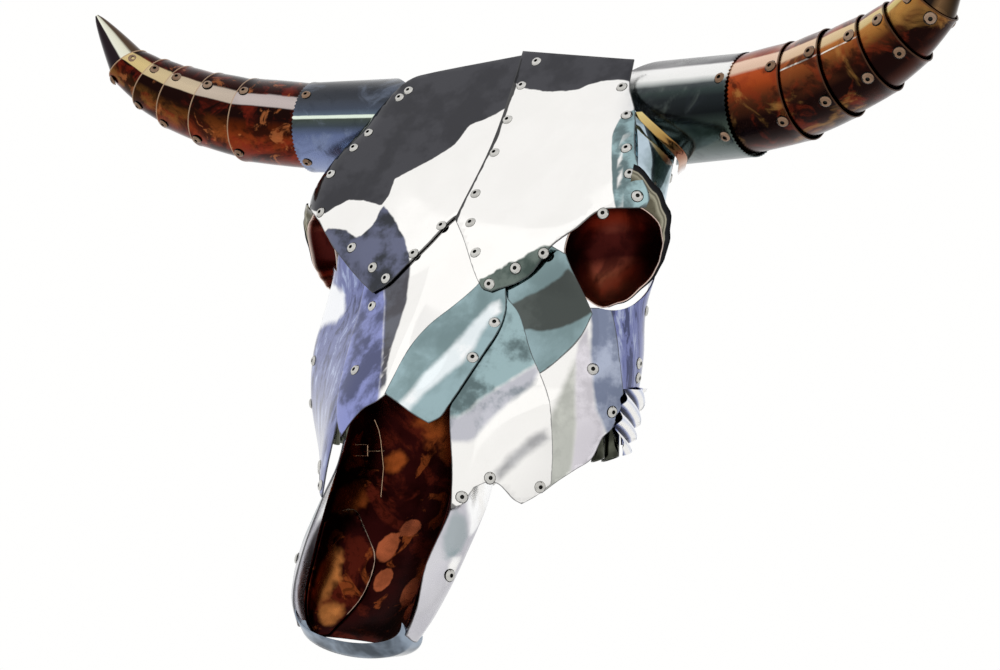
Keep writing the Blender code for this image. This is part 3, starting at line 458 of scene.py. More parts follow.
def rounded_path(corners, radii):
    """A polyline in the level plane with its inner corners rounded."""
    path = [corners[0]]
    for before, corner, after, radius in zip(corners, corners[1:], corners[2:], radii):
        back, on = before - corner, after - corner
        cut = min(radius, BEND_SHARE * back.length, BEND_SHARE * on.length)
        start = corner + back.normalized() * cut
        end = corner + on.normalized() * cut
        for step in range(ARC_STEPS + 1):
            t = step / ARC_STEPS
            path.append((1 - t) ** 2 * start + 2 * t * (1 - t) * corner + t * t * end)
    path.append(corners[-1])
    return path


PATH_CACHE = {}


def head_path(height):
    """The head's outline at one height, from the middle line round to the rear."""
    key = ("head", round(height, 6))
    if key not in PATH_CACHE:
        values = smooth_between(HEAD_SECTIONS, height)
        corners = [Vector((0.0, values[0]))]
        corners += [Vector(values[i:i + 2]) for i in range(1, len(values), 2)]
        PATH_CACHE[key] = rounded_path(corners, HEAD_BEND_RADII)
    return PATH_CACHE[key]


def muzzle_path(height, slimming=0.0):
    """The muzzle's outline at one height, from the nose rim round to the rear."""
    key = (slimming, round(height, 6))
    if key not in PATH_CACHE:
        values = smooth_between(MUZZLE_SECTIONS, height)
        slimming *= math.exp(
            -((height - MUZZLE_SLIMMING_HEIGHT) / MUZZLE_SLIMMING_SPREAD) ** 2)
        corners = [Vector(values[i:i + 2]) + Vector((-slimming * share, 0.0))
                   for i, share in zip(range(0, len(values), 2), MUZZLE_SLIMMING_SHARES)]
        PATH_CACHE[key] = rounded_path(corners, MUZZLE_BEND_RADII)
    return PATH_CACHE[key]


def slim_muzzle_path(height):
    """The muzzle's outline on the right, where the photograph shows it slimmer."""
    return muzzle_path(height, MUZZLE_SLIMMING)


MUZZLE_PATHS = {1: slim_muzzle_path, -1: muzzle_path}


def along(path, reach):
    """The point at a distance along a path, straight on past its ends."""
    left = reach
    for start, end in zip(path, path[1:]):
        step = (end - start).length
        if step < SHORT_STEP:
            continue
        if left <= step or end is path[-1]:
            return start + (end - start) / step * left
        left -= step
    return path[-1]


def on_form(path_at, height, reach, lift, side=1):
    """A point of the form in the object's frame, lifted off it, and the normal there."""
    out = abs(reach)
    spot = along(path_at(height), out)
    run = (along(path_at(height), out + REACH_STEP)
           - along(path_at(height), max(out - REACH_STEP, 0.0)))
    above = along(path_at(height + HEIGHT_STEP), out)
    below = along(path_at(height - HEIGHT_STEP), out)
    down = Vector((below.x - above.x, below.y - above.y, -2 * HEIGHT_STEP))
    normal = down.cross(Vector((run.x, run.y, 0.0))).normalized()
    if out < REACH_STEP and path_at is head_path:
        normal.x *= out / REACH_STEP
        normal.normalize()
    point = Vector((spot.x, spot.y, height)) + normal * lift
    turn = -side if reach < 0 else side
    return (Vector((turn * point.x, point.y, point.z)) + POLL,
            Vector((turn * normal.x, normal.y, normal.z)))


def layer_lift(layer):
    """How far a layer of sheet stands off the form."""
    return (layer - BASE_LAYER) * LAYER_STEP


# Mesh helpers

def finish_piece(name, shape, materials, node=None, smooth=50):
    """A bmesh becomes a named piece on the object, standing for its solid."""
    mesh = bpy.data.meshes.new(name)
    shape.to_mesh(mesh)
    shape.free()
    mesh.shade_smooth()
    mesh.set_sharp_from_angle(angle=math.radians(smooth))
    for material in materials:
        mesh.materials.append(material)
    piece = bpy.data.objects.new(name, mesh)
    bpy.context.collection.objects.link(piece)
    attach(piece, "root")
    if node:
        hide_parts(node)
    return piece


def finish_sheet(name, shape, material, sheet, outward=True):
    """A named piece that stands for its solid, thick as its sheet, its cut edges rounded."""
    piece = finish_piece(name, shape, [material], name)
    solid = piece.modifiers.new("sheet", "SOLIDIFY")
    solid.thickness = sheet
    solid.offset = 1.0 if outward else -1.0
    solid.use_even_offset = True
    solid.use_quality_normals = True
    rim = piece.modifiers.new("rim", "BEVEL")
    rim.width = settings().rim_bevel
    rim.segments = 2
    rim.limit_method = "ANGLE"
    rim.angle_limit = RIM_ANGLE


def looking(place, aim, axis="Z"):
    """A place in space with one axis along an aim."""
    return Matrix.Translation(place) @ aim.to_track_quat(axis, "Y").to_matrix().to_4x4()


def frontward(aim):
    """An aim, or the opposite one where that looks to the front."""
    return -aim if aim.y > 0 else aim


def smooth_outline(points):
    """An outline rounded between its sharp corners."""
    ring_points = [Vector((reach, height)) for height, reach in points]
    count = len(ring_points)

    def is_corner(index):
        here = ring_points[index]
        into = here - ring_points[index - 1]
        out = ring_points[(index + 1) % count] - here
        return into.angle(out) > CORNER_ANGLE

    corners = [is_corner(i) for i in range(count)]
    result = []
    for i in range(count):
        a, b = ring_points[i], ring_points[(i + 1) % count]
        before = a if corners[i] else ring_points[i - 1]
        after = b if corners[(i + 1) % count] else ring_points[(i + 2) % count]
        tangent_a = (b - a) if corners[i] else (b - before) / 2
        tangent_b = (b - a) if corners[(i + 1) % count] else (after - a) / 2
        span = (b - a).length
        if tangent_a.length > span:
            tangent_a *= span / tangent_a.length
        if tangent_b.length > span:
            tangent_b *= span / tangent_b.length
        for step in range(OUTLINE_STEPS):
            result.append(curve_between(a, tangent_a, b, tangent_b, step / OUTLINE_STEPS))
    return result


def edge_distance(spot, outline):
    """Distance from a point of the pattern to an area's edge, positive inside it."""
    nearest = 1e9
    inside = False
    for (h1, r1), (h2, r2) in zip(outline, outline[1:] + outline[:1]):
        a, run = Vector((r1, h1)), Vector((r2 - r1, h2 - h1))
        t = max(0.0, min(1.0, (spot - a).dot(run) / max(run.length_squared, 1e-12)))
        nearest = min(nearest, (a + run * t - spot).length)
        if (h1 > spot.y) != (h2 > spot.y):
            if spot.x < r1 + (spot.y - h1) / (h2 - h1) * (r2 - r1):
                inside = not inside
    return nearest if inside else -nearest


def cut_by_grid(pattern, cell):
    """Cut a flat pattern into square cells, so that it can bend."""
    for normal in (Vector((1, 0, 0)), Vector((0, 1, 0))):
        spots = [vert.co.dot(normal) for vert in pattern.verts]
        low, high = min(spots), max(spots)
        for index in range(math.ceil(low / cell), math.floor(high / cell) + 1):
            bmesh.ops.bisect_plane(
                pattern, geom=pattern.verts[:] + pattern.edges[:] + pattern.faces[:],
                dist=cell * 0.02, plane_co=normal * index * cell, plane_no=normal)


def cut_by_field(shape, field):
    """Cut a sheet where a field of its points is zero, and drop the part below zero."""
    values = {vert: field(vert.co) for vert in shape.verts}
    fresh = []
    for edge in list(shape.edges):
        first, second = edge.verts
        a, b = values[first], values[second]
        if (a > 0) != (b > 0) and min(abs(a), abs(b)) > FIELD_TINY:
            vert = bmesh.utils.edge_split(edge, first, a / (a - b))[1]
            values[vert] = 0.0
            fresh.append(vert)
    bmesh.ops.connect_verts(shape, verts=fresh)
    drop = [face for face in shape.faces
            if all(values[vert] <= FIELD_TINY for vert in face.verts)]
    bmesh.ops.delete(shape, geom=drop, context="FACES")


def flat_pattern(outline):
    """A flat sheet with one face."""
    pattern = bmesh.new()
    pattern.faces.new([pattern.verts.new((spot.x, spot.y, 0.0)) for spot in outline])
    return pattern


def split_many_sided(pattern):
    """Cut faces of more than four sides into triangles."""
    many = [face for face in pattern.faces if len(face.verts) > 4]
    bmesh.ops.triangulate(pattern, faces=many)


def side_and_path(name):
    """The side that a plate is on, and the form that it is bent over."""
    side = -1 if name.endswith("left") else 1
    return side, MUZZLE_PATHS[side] if name.startswith("muzzle") else head_path


def bent_plate(name, outline, material, tones=(), opening=None):
    """A bent plate: flat pattern, tones marked on it, cut, bent over the form, thickened."""
    side, path_at = side_and_path(name)
    smoothed = smooth_outline(outline)
    if path_at is not head_path:
        smoothed = [Vector((max(spot.x, 0.0), spot.y)) for spot in smoothed]
    pattern = flat_pattern(smoothed)
    pattern.normal_update()
    if pattern.faces[:][0].normal.z > 0:
        bmesh.ops.reverse_faces(pattern, faces=pattern.faces)
    cut_by_grid(pattern, PLATE_CELL)
    lift = layer_lift(PLATE_LAYERS[name])
    if opening:
        cut_by_field(pattern, lambda co: opening(
            on_form(path_at, co.y, co.x, lift + SHEET / 2, side)[0]))
    areas = (("edge", [(spot.y, spot.x) for spot in smoothed]),) + tuple(tones)
    layers = {tone: pattern.verts.layers.float.new(tone) for tone, area in areas}
    split_many_sided(pattern)
    for vert in pattern.verts:
        spot = Vector((vert.co.x, vert.co.y))
        for tone, area in areas:
            vert[layers[tone]] = edge_distance(spot, area)
        vert.co = on_form(path_at, spot.y, spot.x, lift, side)[0]
    if side > 0:
        bmesh.ops.reverse_faces(pattern, faces=pattern.faces)
    finish_sheet(name, pattern, material, SHEET)


def ring(shape, centre, aim, radius, sides, drop=None):
    """One circle of vertices round an axis; the drop layer runs 0 to 1 from top to bottom."""
    made = bmesh.ops.create_circle(shape, cap_ends=False, radius=radius, segments=sides,
                                   matrix=looking(centre, aim))["verts"]
    if drop is not None:
        top = max(vert.co.z for vert in made)
        bottom = min(vert.co.z for vert in made)
        for vert in made:
            vert[drop] = (top - vert.co.z) / (top - bottom)
    return made


def bridge_rings(shape, rings):
    """Join rings in order with faces."""
    for first, second in zip(rings, rings[1:]):
        edges = {edge for ring_verts in (first, second) for vert in ring_verts
                 for edge in vert.link_edges
                 if edge.other_vert(vert) in ring_verts}
        bmesh.ops.bridge_loops(shape, edges=list(edges))


def turn_faces(shape, measure, faces=None):
    """Turn faces alike, and so that their measures add up to more than zero."""
    faces = shape.faces[:] if faces is None else faces
    bmesh.ops.recalc_face_normals(shape, faces=faces)
    if sum(measure(face) for face in faces) < 0:
        bmesh.ops.reverse_faces(shape, faces=faces)


def face_outwards(shape):
    """Point the faces of a sheet away from its own middle."""
    centre = sum((vert.co for vert in shape.verts), Vector()) / len(shape.verts)
    turn_faces(shape, lambda face: face.normal.dot(face.calc_center_median() - centre)
               * face.calc_area())


def facing_front(shape):
    """Turn a sheet so that its faces look to the front."""
    turn_faces(shape, lambda face: -face.normal.y * face.calc_area())
    return shape


def placed(shape, side):
    """Mirror a right-hand shape for the left side, and bring it to the object's frame."""
    if side < 0:
        bmesh.ops.scale(shape, vec=(-1, 1, 1), verts=shape.verts)
        bmesh.ops.reverse_faces(shape, faces=shape.faces)
    bmesh.ops.translate(shape, vec=POLL, verts=shape.verts)
    return shape


def sheet_through(rows, **marks):
    """A sheet through rows of points, top row first, with marks on its points in order."""
    shape = bmesh.new()
    layers = {name: shape.verts.layers.float.new(name) for name in marks}
    grid = [[shape.verts.new(point) for point in row] for row in rows]
    for upper, lower in zip(grid, grid[1:]):
        for i in range(len(upper) - 1):
            shape.faces.new((upper[i], upper[i + 1], lower[i + 1], lower[i]))
    for name, values in marks.items():
        for vert, value in zip((vert for row in grid for vert in row), values):
            vert[layers[name]] = value
    return shape


# Materials

def feed(tree, socket, value):
    """Give an input a number, a vector, a colour or another node's output."""
    if isinstance(value, (int, float, Vector)):
        socket.default_value = value
    elif isinstance(value, (tuple, list)) or hasattr(value, "r"):
        socket.default_value = (*tuple(value)[:3], 1.0)
    else:
        tree.links.new(value, socket)


def new_node(tree, kind, inputs, group=None):
    """A shader node with its inputs fed; inputs are (label or number, value)."""
    node = tree.nodes.new(kind)
    if group:
        node.node_tree = group
    for label, value in inputs:
        feed(tree, node.inputs[label], value)
    return node


def group_node(tree, name, inputs):
    """The outputs of a node group in use; the group is made at its first use."""
    group = bpy.data.node_groups.get(name) or GROUP_MAKERS[name](name)
    return new_node(tree, "ShaderNodeGroup", inputs, group).outputs


def new_group(name, inputs, outputs):
    """An empty shader node group with named sockets, what it is given and what it gives."""
    group = bpy.data.node_groups.new(name, "ShaderNodeTree")
    for way, labels in (("INPUT", inputs), ("OUTPUT", outputs)):
        for label in labels:
            kind = "NodeSocketVector" if label == "Normal" else "NodeSocketFloat"
            group.interface.new_socket(label, in_out=way, socket_type=kind)
    given = group.nodes.new("NodeGroupInput")
    out = group.nodes.new("NodeGroupOutput")
    return group, given.outputs, out.inputs


def object_place(tree):
    """The place on the object itself, so that a texture stays on its piece."""
    return tree.nodes.new("ShaderNodeTexCoord").outputs["Object"]


def stretched_place(tree, scale, rotation=(0.0, 0.0, 0.0)):
    """The place on the object, turned and stretched."""
    return new_node(tree, "ShaderNodeMapping", (
        ("Vector", object_place(tree)), ("Rotation", Vector(rotation)),
        ("Scale", Vector(scale)))).outputs[0]


def math_node(tree, operation, first, second):
    """A Math node fed by sockets or numbers; returns its output."""
    node = new_node(tree, "ShaderNodeMath", ((0, first), (1, second)))
    node.operation = operation
    return node.outputs[0]


def noise_node(tree, vector, scale, detail, roughness, distortion=0.0):
    """A Noise texture; returns its value."""
    return new_node(tree, "ShaderNodeTexNoise", (
        ("Vector", vector), ("Scale", scale), ("Detail", detail), ("Roughness", roughness),
        ("Distortion", distortion))).outputs["Fac"]


def mix_colour(tree, factor, first, second):
    """Mix two colours or sockets by a factor; returns the colour."""
    node = tree.nodes.new("ShaderNodeMix")
    node.data_type = "RGBA"
    for index, value in ((0, factor), (6, first), (7, second)):
        feed(tree, node.inputs[index], value)
    return node.outputs[2]


def range_node(tree, value, low, high, to_low=0.0, to_high=1.0, smooth=True):
    """A Map Range node; returns its result."""
    node = new_node(tree, "ShaderNodeMapRange", (
        ("Value", value), ("From Min", low), ("From Max", high), ("To Min", to_low),
        ("To Max", to_high)))
    node.interpolation_type = "SMOOTHSTEP" if smooth else "LINEAR"
    return node.outputs[0]


def sheet_wear_group(name):
    """Hand-worked sheet: uneven polish, fine scratches, smudges and shallow dents."""
    group, given, out = new_group(name, ("Roughness", "Smudge", "Scratch", "Dent"),
                                  ("Roughness", "Cloud", "Normal"))
    place = object_place(group)
    cloud = noise_node(group, place, 22.0, 5.0, 0.6)
    smudge = range_node(group, cloud, 0.42, 0.68)
    stretched = stretched_place(group, (1500.0, 60.0, 200.0), (0.3, 0.5, 0.4))
    scratch = range_node(group, noise_node(group, stretched, 1.0, 2.0, 0.5), 0.56, 0.74)
    rough = math_node(group, "MULTIPLY", smudge, given["Smudge"])
    rough = math_node(group, "ADD", rough, given["Roughness"])
    lines = math_node(group, "MULTIPLY", scratch, given["Scratch"])
    lines = math_node(group, "MULTIPLY", lines, SCRATCH_ROUGHNESS)
    dents = noise_node(group, place, 14.0, 1.0, 0.4)
    bump = new_node(group, "ShaderNodeBump", (
        ("Distance", DENT_DEPTH), ("Strength", given["Dent"]), ("Height", dents)))
    feed(group, out["Roughness"], math_node(group, "ADD", rough, lines))
    feed(group, out["Cloud"], cloud)
    feed(group, out["Normal"], bump.outputs[0])
    return group


def tone_edge_group(name):
    """From a distance to an area's edge to a mask with a wandering, soft or crisp edge."""
    group, given, out = new_group(name, ("Distance", "Softness", "Wander", "Strength"),
                                  ("Mask",))
    shift = noise_node(group, object_place(group), 95.0, 2.0, 0.5)
    shift = math_node(group, "SUBTRACT", shift, 0.5)
    shift = math_node(group, "MULTIPLY", shift, given["Wander"])
    distance = math_node(group, "ADD", given["Distance"], shift)
    low = math_node(group, "MULTIPLY", given["Softness"], -1.0)
    mask = range_node(group, distance, low, given["Softness"])
    feed(group, out["Mask"], math_node(group, "MULTIPLY", mask, given["Strength"]))
    return group


def patina_group(name):
    """Flame colours: blotches of two tones with streaks between them."""
    group, given, out = new_group(name, ("Scale", "Spread", "Level"), ("Blotch", "Vein"))
    place = object_place(group)
    blotch = noise_node(group, place, given["Scale"], 5.0, 0.62, 0.8)
    low = math_node(group, "SUBTRACT", given["Level"], given["Spread"])
    high = math_node(group, "ADD", given["Level"], given["Spread"])
    feed(group, out["Blotch"], range_node(group, blotch, low, high))
    veins = noise_node(group, place, 120.0, 4.0, 0.65, 1.5)
    feed(group, out["Vein"], range_node(group, veins, 0.5, 0.62))
    return group


GROUP_MAKERS = {"Hand-worked sheet": sheet_wear_group, "Tone edge": tone_edge_group,
                "Flame patina": patina_group}


def metal_base(name, roughness, smudge, scratch, dent):
    """A worn metal: its material, tree, input for the colour, and cloudy value."""
    material = bpy.data.materials.new(name)
    material.use_nodes = True
    tree = material.node_tree
    shader = tree.nodes["Principled BSDF"]
    shader.inputs["Metallic"].default_value = 1.0
    wear = group_node(tree, "Hand-worked sheet", (
        ("Roughness", roughness), ("Smudge", smudge), ("Scratch", scratch), ("Dent", dent)))
    for label in ("Roughness", "Normal"):
        tree.links.new(wear[label], shader.inputs[label])
    return material, tree, shader.inputs["Base Color"], wear["Cloud"]


def attribute(tree, name):
    """A vertex attribute's value."""
    node = tree.nodes.new("ShaderNodeAttribute")
    node.attribute_name = name
    return node.outputs["Fac"]


def with_tones(tree, colour, tones, patch):
    """A colour with marked tones over it, each drawn as the patch that its tint makes."""
    for tone, tint, softness, wander, strength in tones:
        mask = group_node(tree, "Tone edge", (
            ("Distance", attribute(tree, tone)), ("Softness", softness), ("Wander", wander),
            ("Strength", strength)))["Mask"]
        colour = mix_colour(tree, mask, colour, patch(tint))
    return colour


def shade(colour, factor):
    """A lighter or darker colour."""
    return tuple(min(1.0, part * factor) for part in tuple(colour)[:3])


def rim_line(tree, colour, tint=(0.070, 0.070, 0.070)):
    """The dark line that a cut and deburred edge draws along a plate."""
    waver = noise_node(tree, object_place(tree), 150.0, 2.0, 0.5)
    far = range_node(tree, waver, 0.3, 0.7, RIM_NARROW, RIM_WIDE, smooth=False)
    mask = range_node(tree, attribute(tree, "edge"), RIM_START, far, RIM_STRENGTH, 0.0)
    return mix_colour(tree, mask, colour, tint)


def polished_steel(name, base, cloud_tint, tones=(), roughness=0.05, dent=0.10, mottle=0.35,
                   rimmed=True, stretch=(1.0, 1.0, 1.0)):
    """Polished sheet steel: clouded base colour with marked tones on top, heat tints and painted
    reflections, highlights and shadows.
    """
    material, tree, colour_input, cloud = metal_base(name, roughness, 0.06, 0.5, dent)
    clouds = noise_node(tree, stretched_place(tree, stretch), 24.0, 4.0, 0.55, 0.3)
    clouds = range_node(tree, clouds, 0.36, 0.64, 0.0, mottle)
    colour = mix_colour(tree, clouds, base, cloud_tint)

    def patch(tint):
        shades = tint if isinstance(tint[0], tuple) else (tint, shade(tint, 1.35))
        return mix_colour(tree, range_node(tree, cloud, 0.43, 0.57), *shades)

    colour = with_tones(tree, colour, tones, patch)
    feed(tree, colour_input, rim_line(tree, colour) if rimmed else colour)
    return material


def mottled_blue_steel(name, tones=(), stretch=(2.6, 2.6, 0.9), scale=42.0, spread=1.0,
                       light=(0.46, 0.53, 0.76)):
    """Heat-blued steel with brushed, cloudy mottling."""
    material, tree, colour_input = metal_base(name, 0.10, 0.10, 0.8, 0.10)[:3]
    pulled = stretched_place(tree, stretch, (0.0, 0.30, 0.0))
    cloud = noise_node(tree, pulled, scale, 7.0, 0.68, 0.5)
    base = tuple(settings().blue_colour)
    colour = mix_colour(tree, range_node(tree, cloud, 0.50 - 0.13 * spread, 0.50),
                        shade(base, 0.42), base)
    colour = mix_colour(tree, range_node(tree, cloud, 0.52, 0.52 + 0.20 * spread), colour,
                        light)
    feed(tree, colour_input, rim_line(tree, with_tones(tree, colour, tones, tuple)))
    return material


def ramp(tree, value, stops):
    """A colour ramp; stops are (position, colour)."""
    node = new_node(tree, "ShaderNodeValToRGB", (("Fac", value),))
    elements = node.color_ramp.elements
    while len(elements) < len(stops):
        elements.new(0.5)
    for element, (position, colour) in zip(elements, stops):
        element.position = position
        element.color = (*tuple(colour)[:3], 1.0)
    return node.outputs["Color"]


def patina(tree, scale, level, spread):
    """What the flame patina gives at a scale, a level and a spread."""
    return group_node(tree, "Flame patina", (
        ("Scale", scale), ("Level", level), ("Spread", spread)))


def banded_metal(name, stops, roughness=0.08, dent=0.1, wander=0.03, blotches=(),
                 bright=(0.0, 0.0), lap=None):
    """Metal whose tone runs in bands from the top of a horn to its underside; the bands carry
    painted highlights, reflections and shade.
    """
    material, tree, colour_input, cloud = metal_base(name, roughness, 0.08, 0.5, dent)
    shift = math_node(tree, "SUBTRACT", cloud, 0.5)
    drop = math_node(tree, "ADD", attribute(tree, "drop"),
                     math_node(tree, "MULTIPLY", shift, wander))
    colour = ramp(tree, drop, stops)
    # Flame blotches are kept off the painted highlight strip that bright spans
    low, high = bright
    above = range_node(tree, drop, low - 0.015, low + 0.005, 1.0, 0.0)
    below = range_node(tree, drop, high - 0.005, high + 0.02, 0.0, 1.0)
    clear = math_node(tree, "MAXIMUM", above, below)
    for tint, scale, level, spread, strength in blotches:
        blotch = patina(tree, scale, level, spread)["Blotch"]
        mask = math_node(tree, "MULTIPLY", blotch, strength)
        mask = math_node(tree, "MULTIPLY", mask, clear)
        colour = mix_colour(tree, mask, colour, tint)
    if lap:
        line = range_node(tree, attribute(tree, "rim"), RIM_NARROW, RIM_WIDE, 0.8, 0.0)
        colour = mix_colour(tree, line, colour, lap)
    feed(tree, colour_input, colour)
    return material


def lining_copper(name, tones=(), level=0.55, rim=None):
    """Dark polished copper with flame blotches from dark red to orange."""
    material, tree, colour_input, cloud = metal_base(name, 0.22, 0.10, 0.4, 0.15)
    dark = tuple(settings().dark_copper_colour)
    colour = mix_colour(tree, range_node(tree, cloud, 0.35, 0.65), shade(dark, 0.35),
                        shade(dark, 1.5))
    for scale, height, spread, tint in ((20.0, level, 0.05, (0.075, 0.010, 0.005)),
                                        (34.0, level + 0.07, 0.03, (0.20, 0.045, 0.011))):
        flame = patina(tree, scale, height, spread)
        veined = mix_colour(tree, flame["Vein"], tint, shade(tint, 0.5))
        mask = math_node(tree, "MULTIPLY", flame["Blotch"], 0.8)
        colour = mix_colour(tree, mask, colour, veined)

    def patch(tint):
        return mix_colour(tree, range_node(tree, cloud, 0.42, 0.60), shade(tint, 0.55),
                          shade(tint, 1.1))

    colour = with_tones(tree, colour, tones, patch)
    feed(tree, colour_input, rim_line(tree, colour, rim) if rim else colour)
    return material


# Face plates

def steel_plate(name, outline, title, shades, tones=(), slot="mirror_steel", opening=None,
                **look):
    """A bent plate of polished steel; tones are (name, area, tint, softness, wander, strength)."""
    steel = polished_steel(title, *shades, [(tone[0], *tone[2:]) for tone in tones], **look)
    bent_plate(name, outline, steel, [tone[:2] for tone in tones], opening)


def socket_opening(side, radius, rise=0.0):
    """A field that is positive outside a drum on the socket's axis, or raised above it."""
    centre = SOCKET_CENTRES[side] + Vector((0, 0, rise))
    centre = Vector((side * centre.x, centre.y, centre.z)) + POLL
    facing = Vector((side * SOCKET_FACING.x, SOCKET_FACING.y, SOCKET_FACING.z))

    def field(point):
        offset = point - centre
        return (offset - facing * offset.dot(facing)).length - radius
    return field


class SKULL_OT_face_plates(bpy.types.Operator):
    """Bend and polish the plates of the face."""

    bl_idname = "skull.face_plates"
    bl_label = "Face plates"

    # Radii round the sockets' axes outside which the plates start
    narrow_opening = 0.0424
    wide_opening = 0.0516
    left_opening = 0.0400
    left_opening_rise = 0.026

    def execute(self, context):
        hues = settings()
        mirror, slate = tuple(hues.mirror_colour), tuple(hues.slate_reflection_colour)
        teal, blue = tuple(hues.teal_colour), tuple(hues.blue_colour)
        polished = (mirror, (0.86, 0.845, 0.815))
        tinted = (teal, (0.34, 0.47, 0.50))
        # The left brow's slate and grey tones are painted reflections
        steel_plate(
            "forehead_plate_left", FOREHEAD_LEFT, "Mirror steel, left brow", polished,
            (("slate", FOREHEAD_LEFT_SLATE_REFLECTION, slate, 0.0006, 0.003, 1.0),
             ("grey", FOREHEAD_LEFT_GREY_REFLECTION, ((0.040, 0.043, 0.052), (0.125, 0.135, 0.205)),
              0.0008, 0.003, 1.0)))
        # The right brow's slate and green tones are painted reflections, its glint a painted
        # highlight and its seam tone a painted shadow; its teal is heat tint
        steel_plate(
            "forehead_plate_right", FOREHEAD_RIGHT, "Mirror steel, right brow", polished,
            (("slate", FOREHEAD_RIGHT_SLATE_REFLECTION, slate, 0.0006, 0.003, 1.0),
             ("green", FOREHEAD_RIGHT_GREEN_REFLECTION, ((0.065, 0.090, 0.080), (0.15, 0.185, 0.165)),
              0.0008, 0.006, 1.0),
             ("teal", FOREHEAD_RIGHT_TEAL, (shade(teal, 0.7), shade(teal, 1.8)),
              0.0006, 0.001, 1.0),
             ("glint", FOREHEAD_RIGHT_GLINT, mirror, 0.0012, 0.0, 0.9),
             ("seam", FOREHEAD_RIGHT_SEAM_SHADOW, (0.018, 0.018, 0.020), 0.0004, 0.0030, 0.95)))
        # The left nose's grey tone is a painted reflection; its blue is heat tint
        steel_plate(
            "nasal_plate_left", NASAL_LEFT, "Mirror steel, left nose", polished,
            (("grey", NASAL_LEFT_GREY_REFLECTION, ((0.082, 0.080, 0.092), (0.125, 0.13, 0.155)),
              0.0012, 0.002, 1.0),
             ("blue", NASAL_LEFT_BLUE, (shade(blue, 0.5), shade(blue, 1.5)),
              0.0025, 0.004, 1.0)))
        # The nose plate's glint is a painted highlight
        steel_plate(
            "nasal_plate_right", NASAL_RIGHT, "Teal steel, nose", tinted,
            (("glint", NASAL_RIGHT_GLINT, (0.84, 0.90, 0.92), 0.0032, 0.004, 0.95),),
            "teal_steel", mottle=0.9)
        steel_plate(
            "maxilla_plate_right", MAXILLA, "Mirror steel, upper jaw", polished,
            (("grey", MAXILLA_GREY, ((0.24, 0.27, 0.30), (0.52, 0.52, 0.57)),
              0.003, 0.004, 1.0),
             ("teal", MAXILLA_TEAL, (shade(teal, 0.62), (0.33, 0.46, 0.48)),
              0.0025, 0.004, 1.0),
             ("streak", MAXILLA_STREAK, (0.33, 0.33, 0.34), 0.004, 0.004, 0.9)))
        steel_plate(
            "lacrimal_plate_right", LACRIMAL, "Teal steel, below the eye", tinted,
            (("dark", LACRIMAL_DARK, (0.070, 0.080, 0.075), 0.0015, 0.004, 1.0),),
            "teal_steel", mottle=0.7)
        for side, hand in SIDE_NAMES.items():
            steel_plate(
                "temple_plate_" + hand, TEMPLE, "Teal steel, temple " + hand,
                (shade(teal, 0.8), (0.62, 0.74, 0.82)), (), "teal_steel",
                socket_opening(side, self.wide_opening), mottle=0.9)
            jaw_steel = mottled_blue_steel(
                "Blued steel, jaw " + hand, stretch=(2.2, 2.2, 0.22), scale=34.0, spread=0.5,
                light=(0.38, 0.42, 0.58))
            bent_plate("jaw_plate_" + hand, JAW, jaw_steel, (),
                       socket_opening(side, self.narrow_opening))
        # The right cheek's band is painted shade and its blue a painted reflection
        steel_plate(
            "cheek_plate_right", CHEEK, "Mirror steel, cheek", polished,
            (("band", CHEEK_RIGHT_SHADE_BAND, (0.40, 0.41, 0.37), 0.004, 0.003, 0.9),
             ("pink", CHEEK_RIGHT_PINK, (0.56, 0.535, 0.57), 0.002, 0.002, 1.0),
             ("blue", CHEEK_RIGHT_BLUE_REFLECTION, ((0.18, 0.21, 0.30), (0.38, 0.42, 0.53)),
              0.002, 0.003, 1.0)),
            opening=socket_opening(1, self.narrow_opening))
        # The left cheek's oval is a painted highlight
        cheek_steel = mottled_blue_steel(
            "Blued steel, cheek", (("oval_highlight", (0.93, 0.94, 0.97), 0.004, 0.008, 1.0),))
        bent_plate("cheek_plate_left", WHOLE_CHEEK, cheek_steel,
                   (("oval_highlight", CHEEK_LEFT_OVAL_HIGHLIGHT),),
                   socket_opening(-1, self.left_opening, self.left_opening_rise))
        return {"FINISHED"}


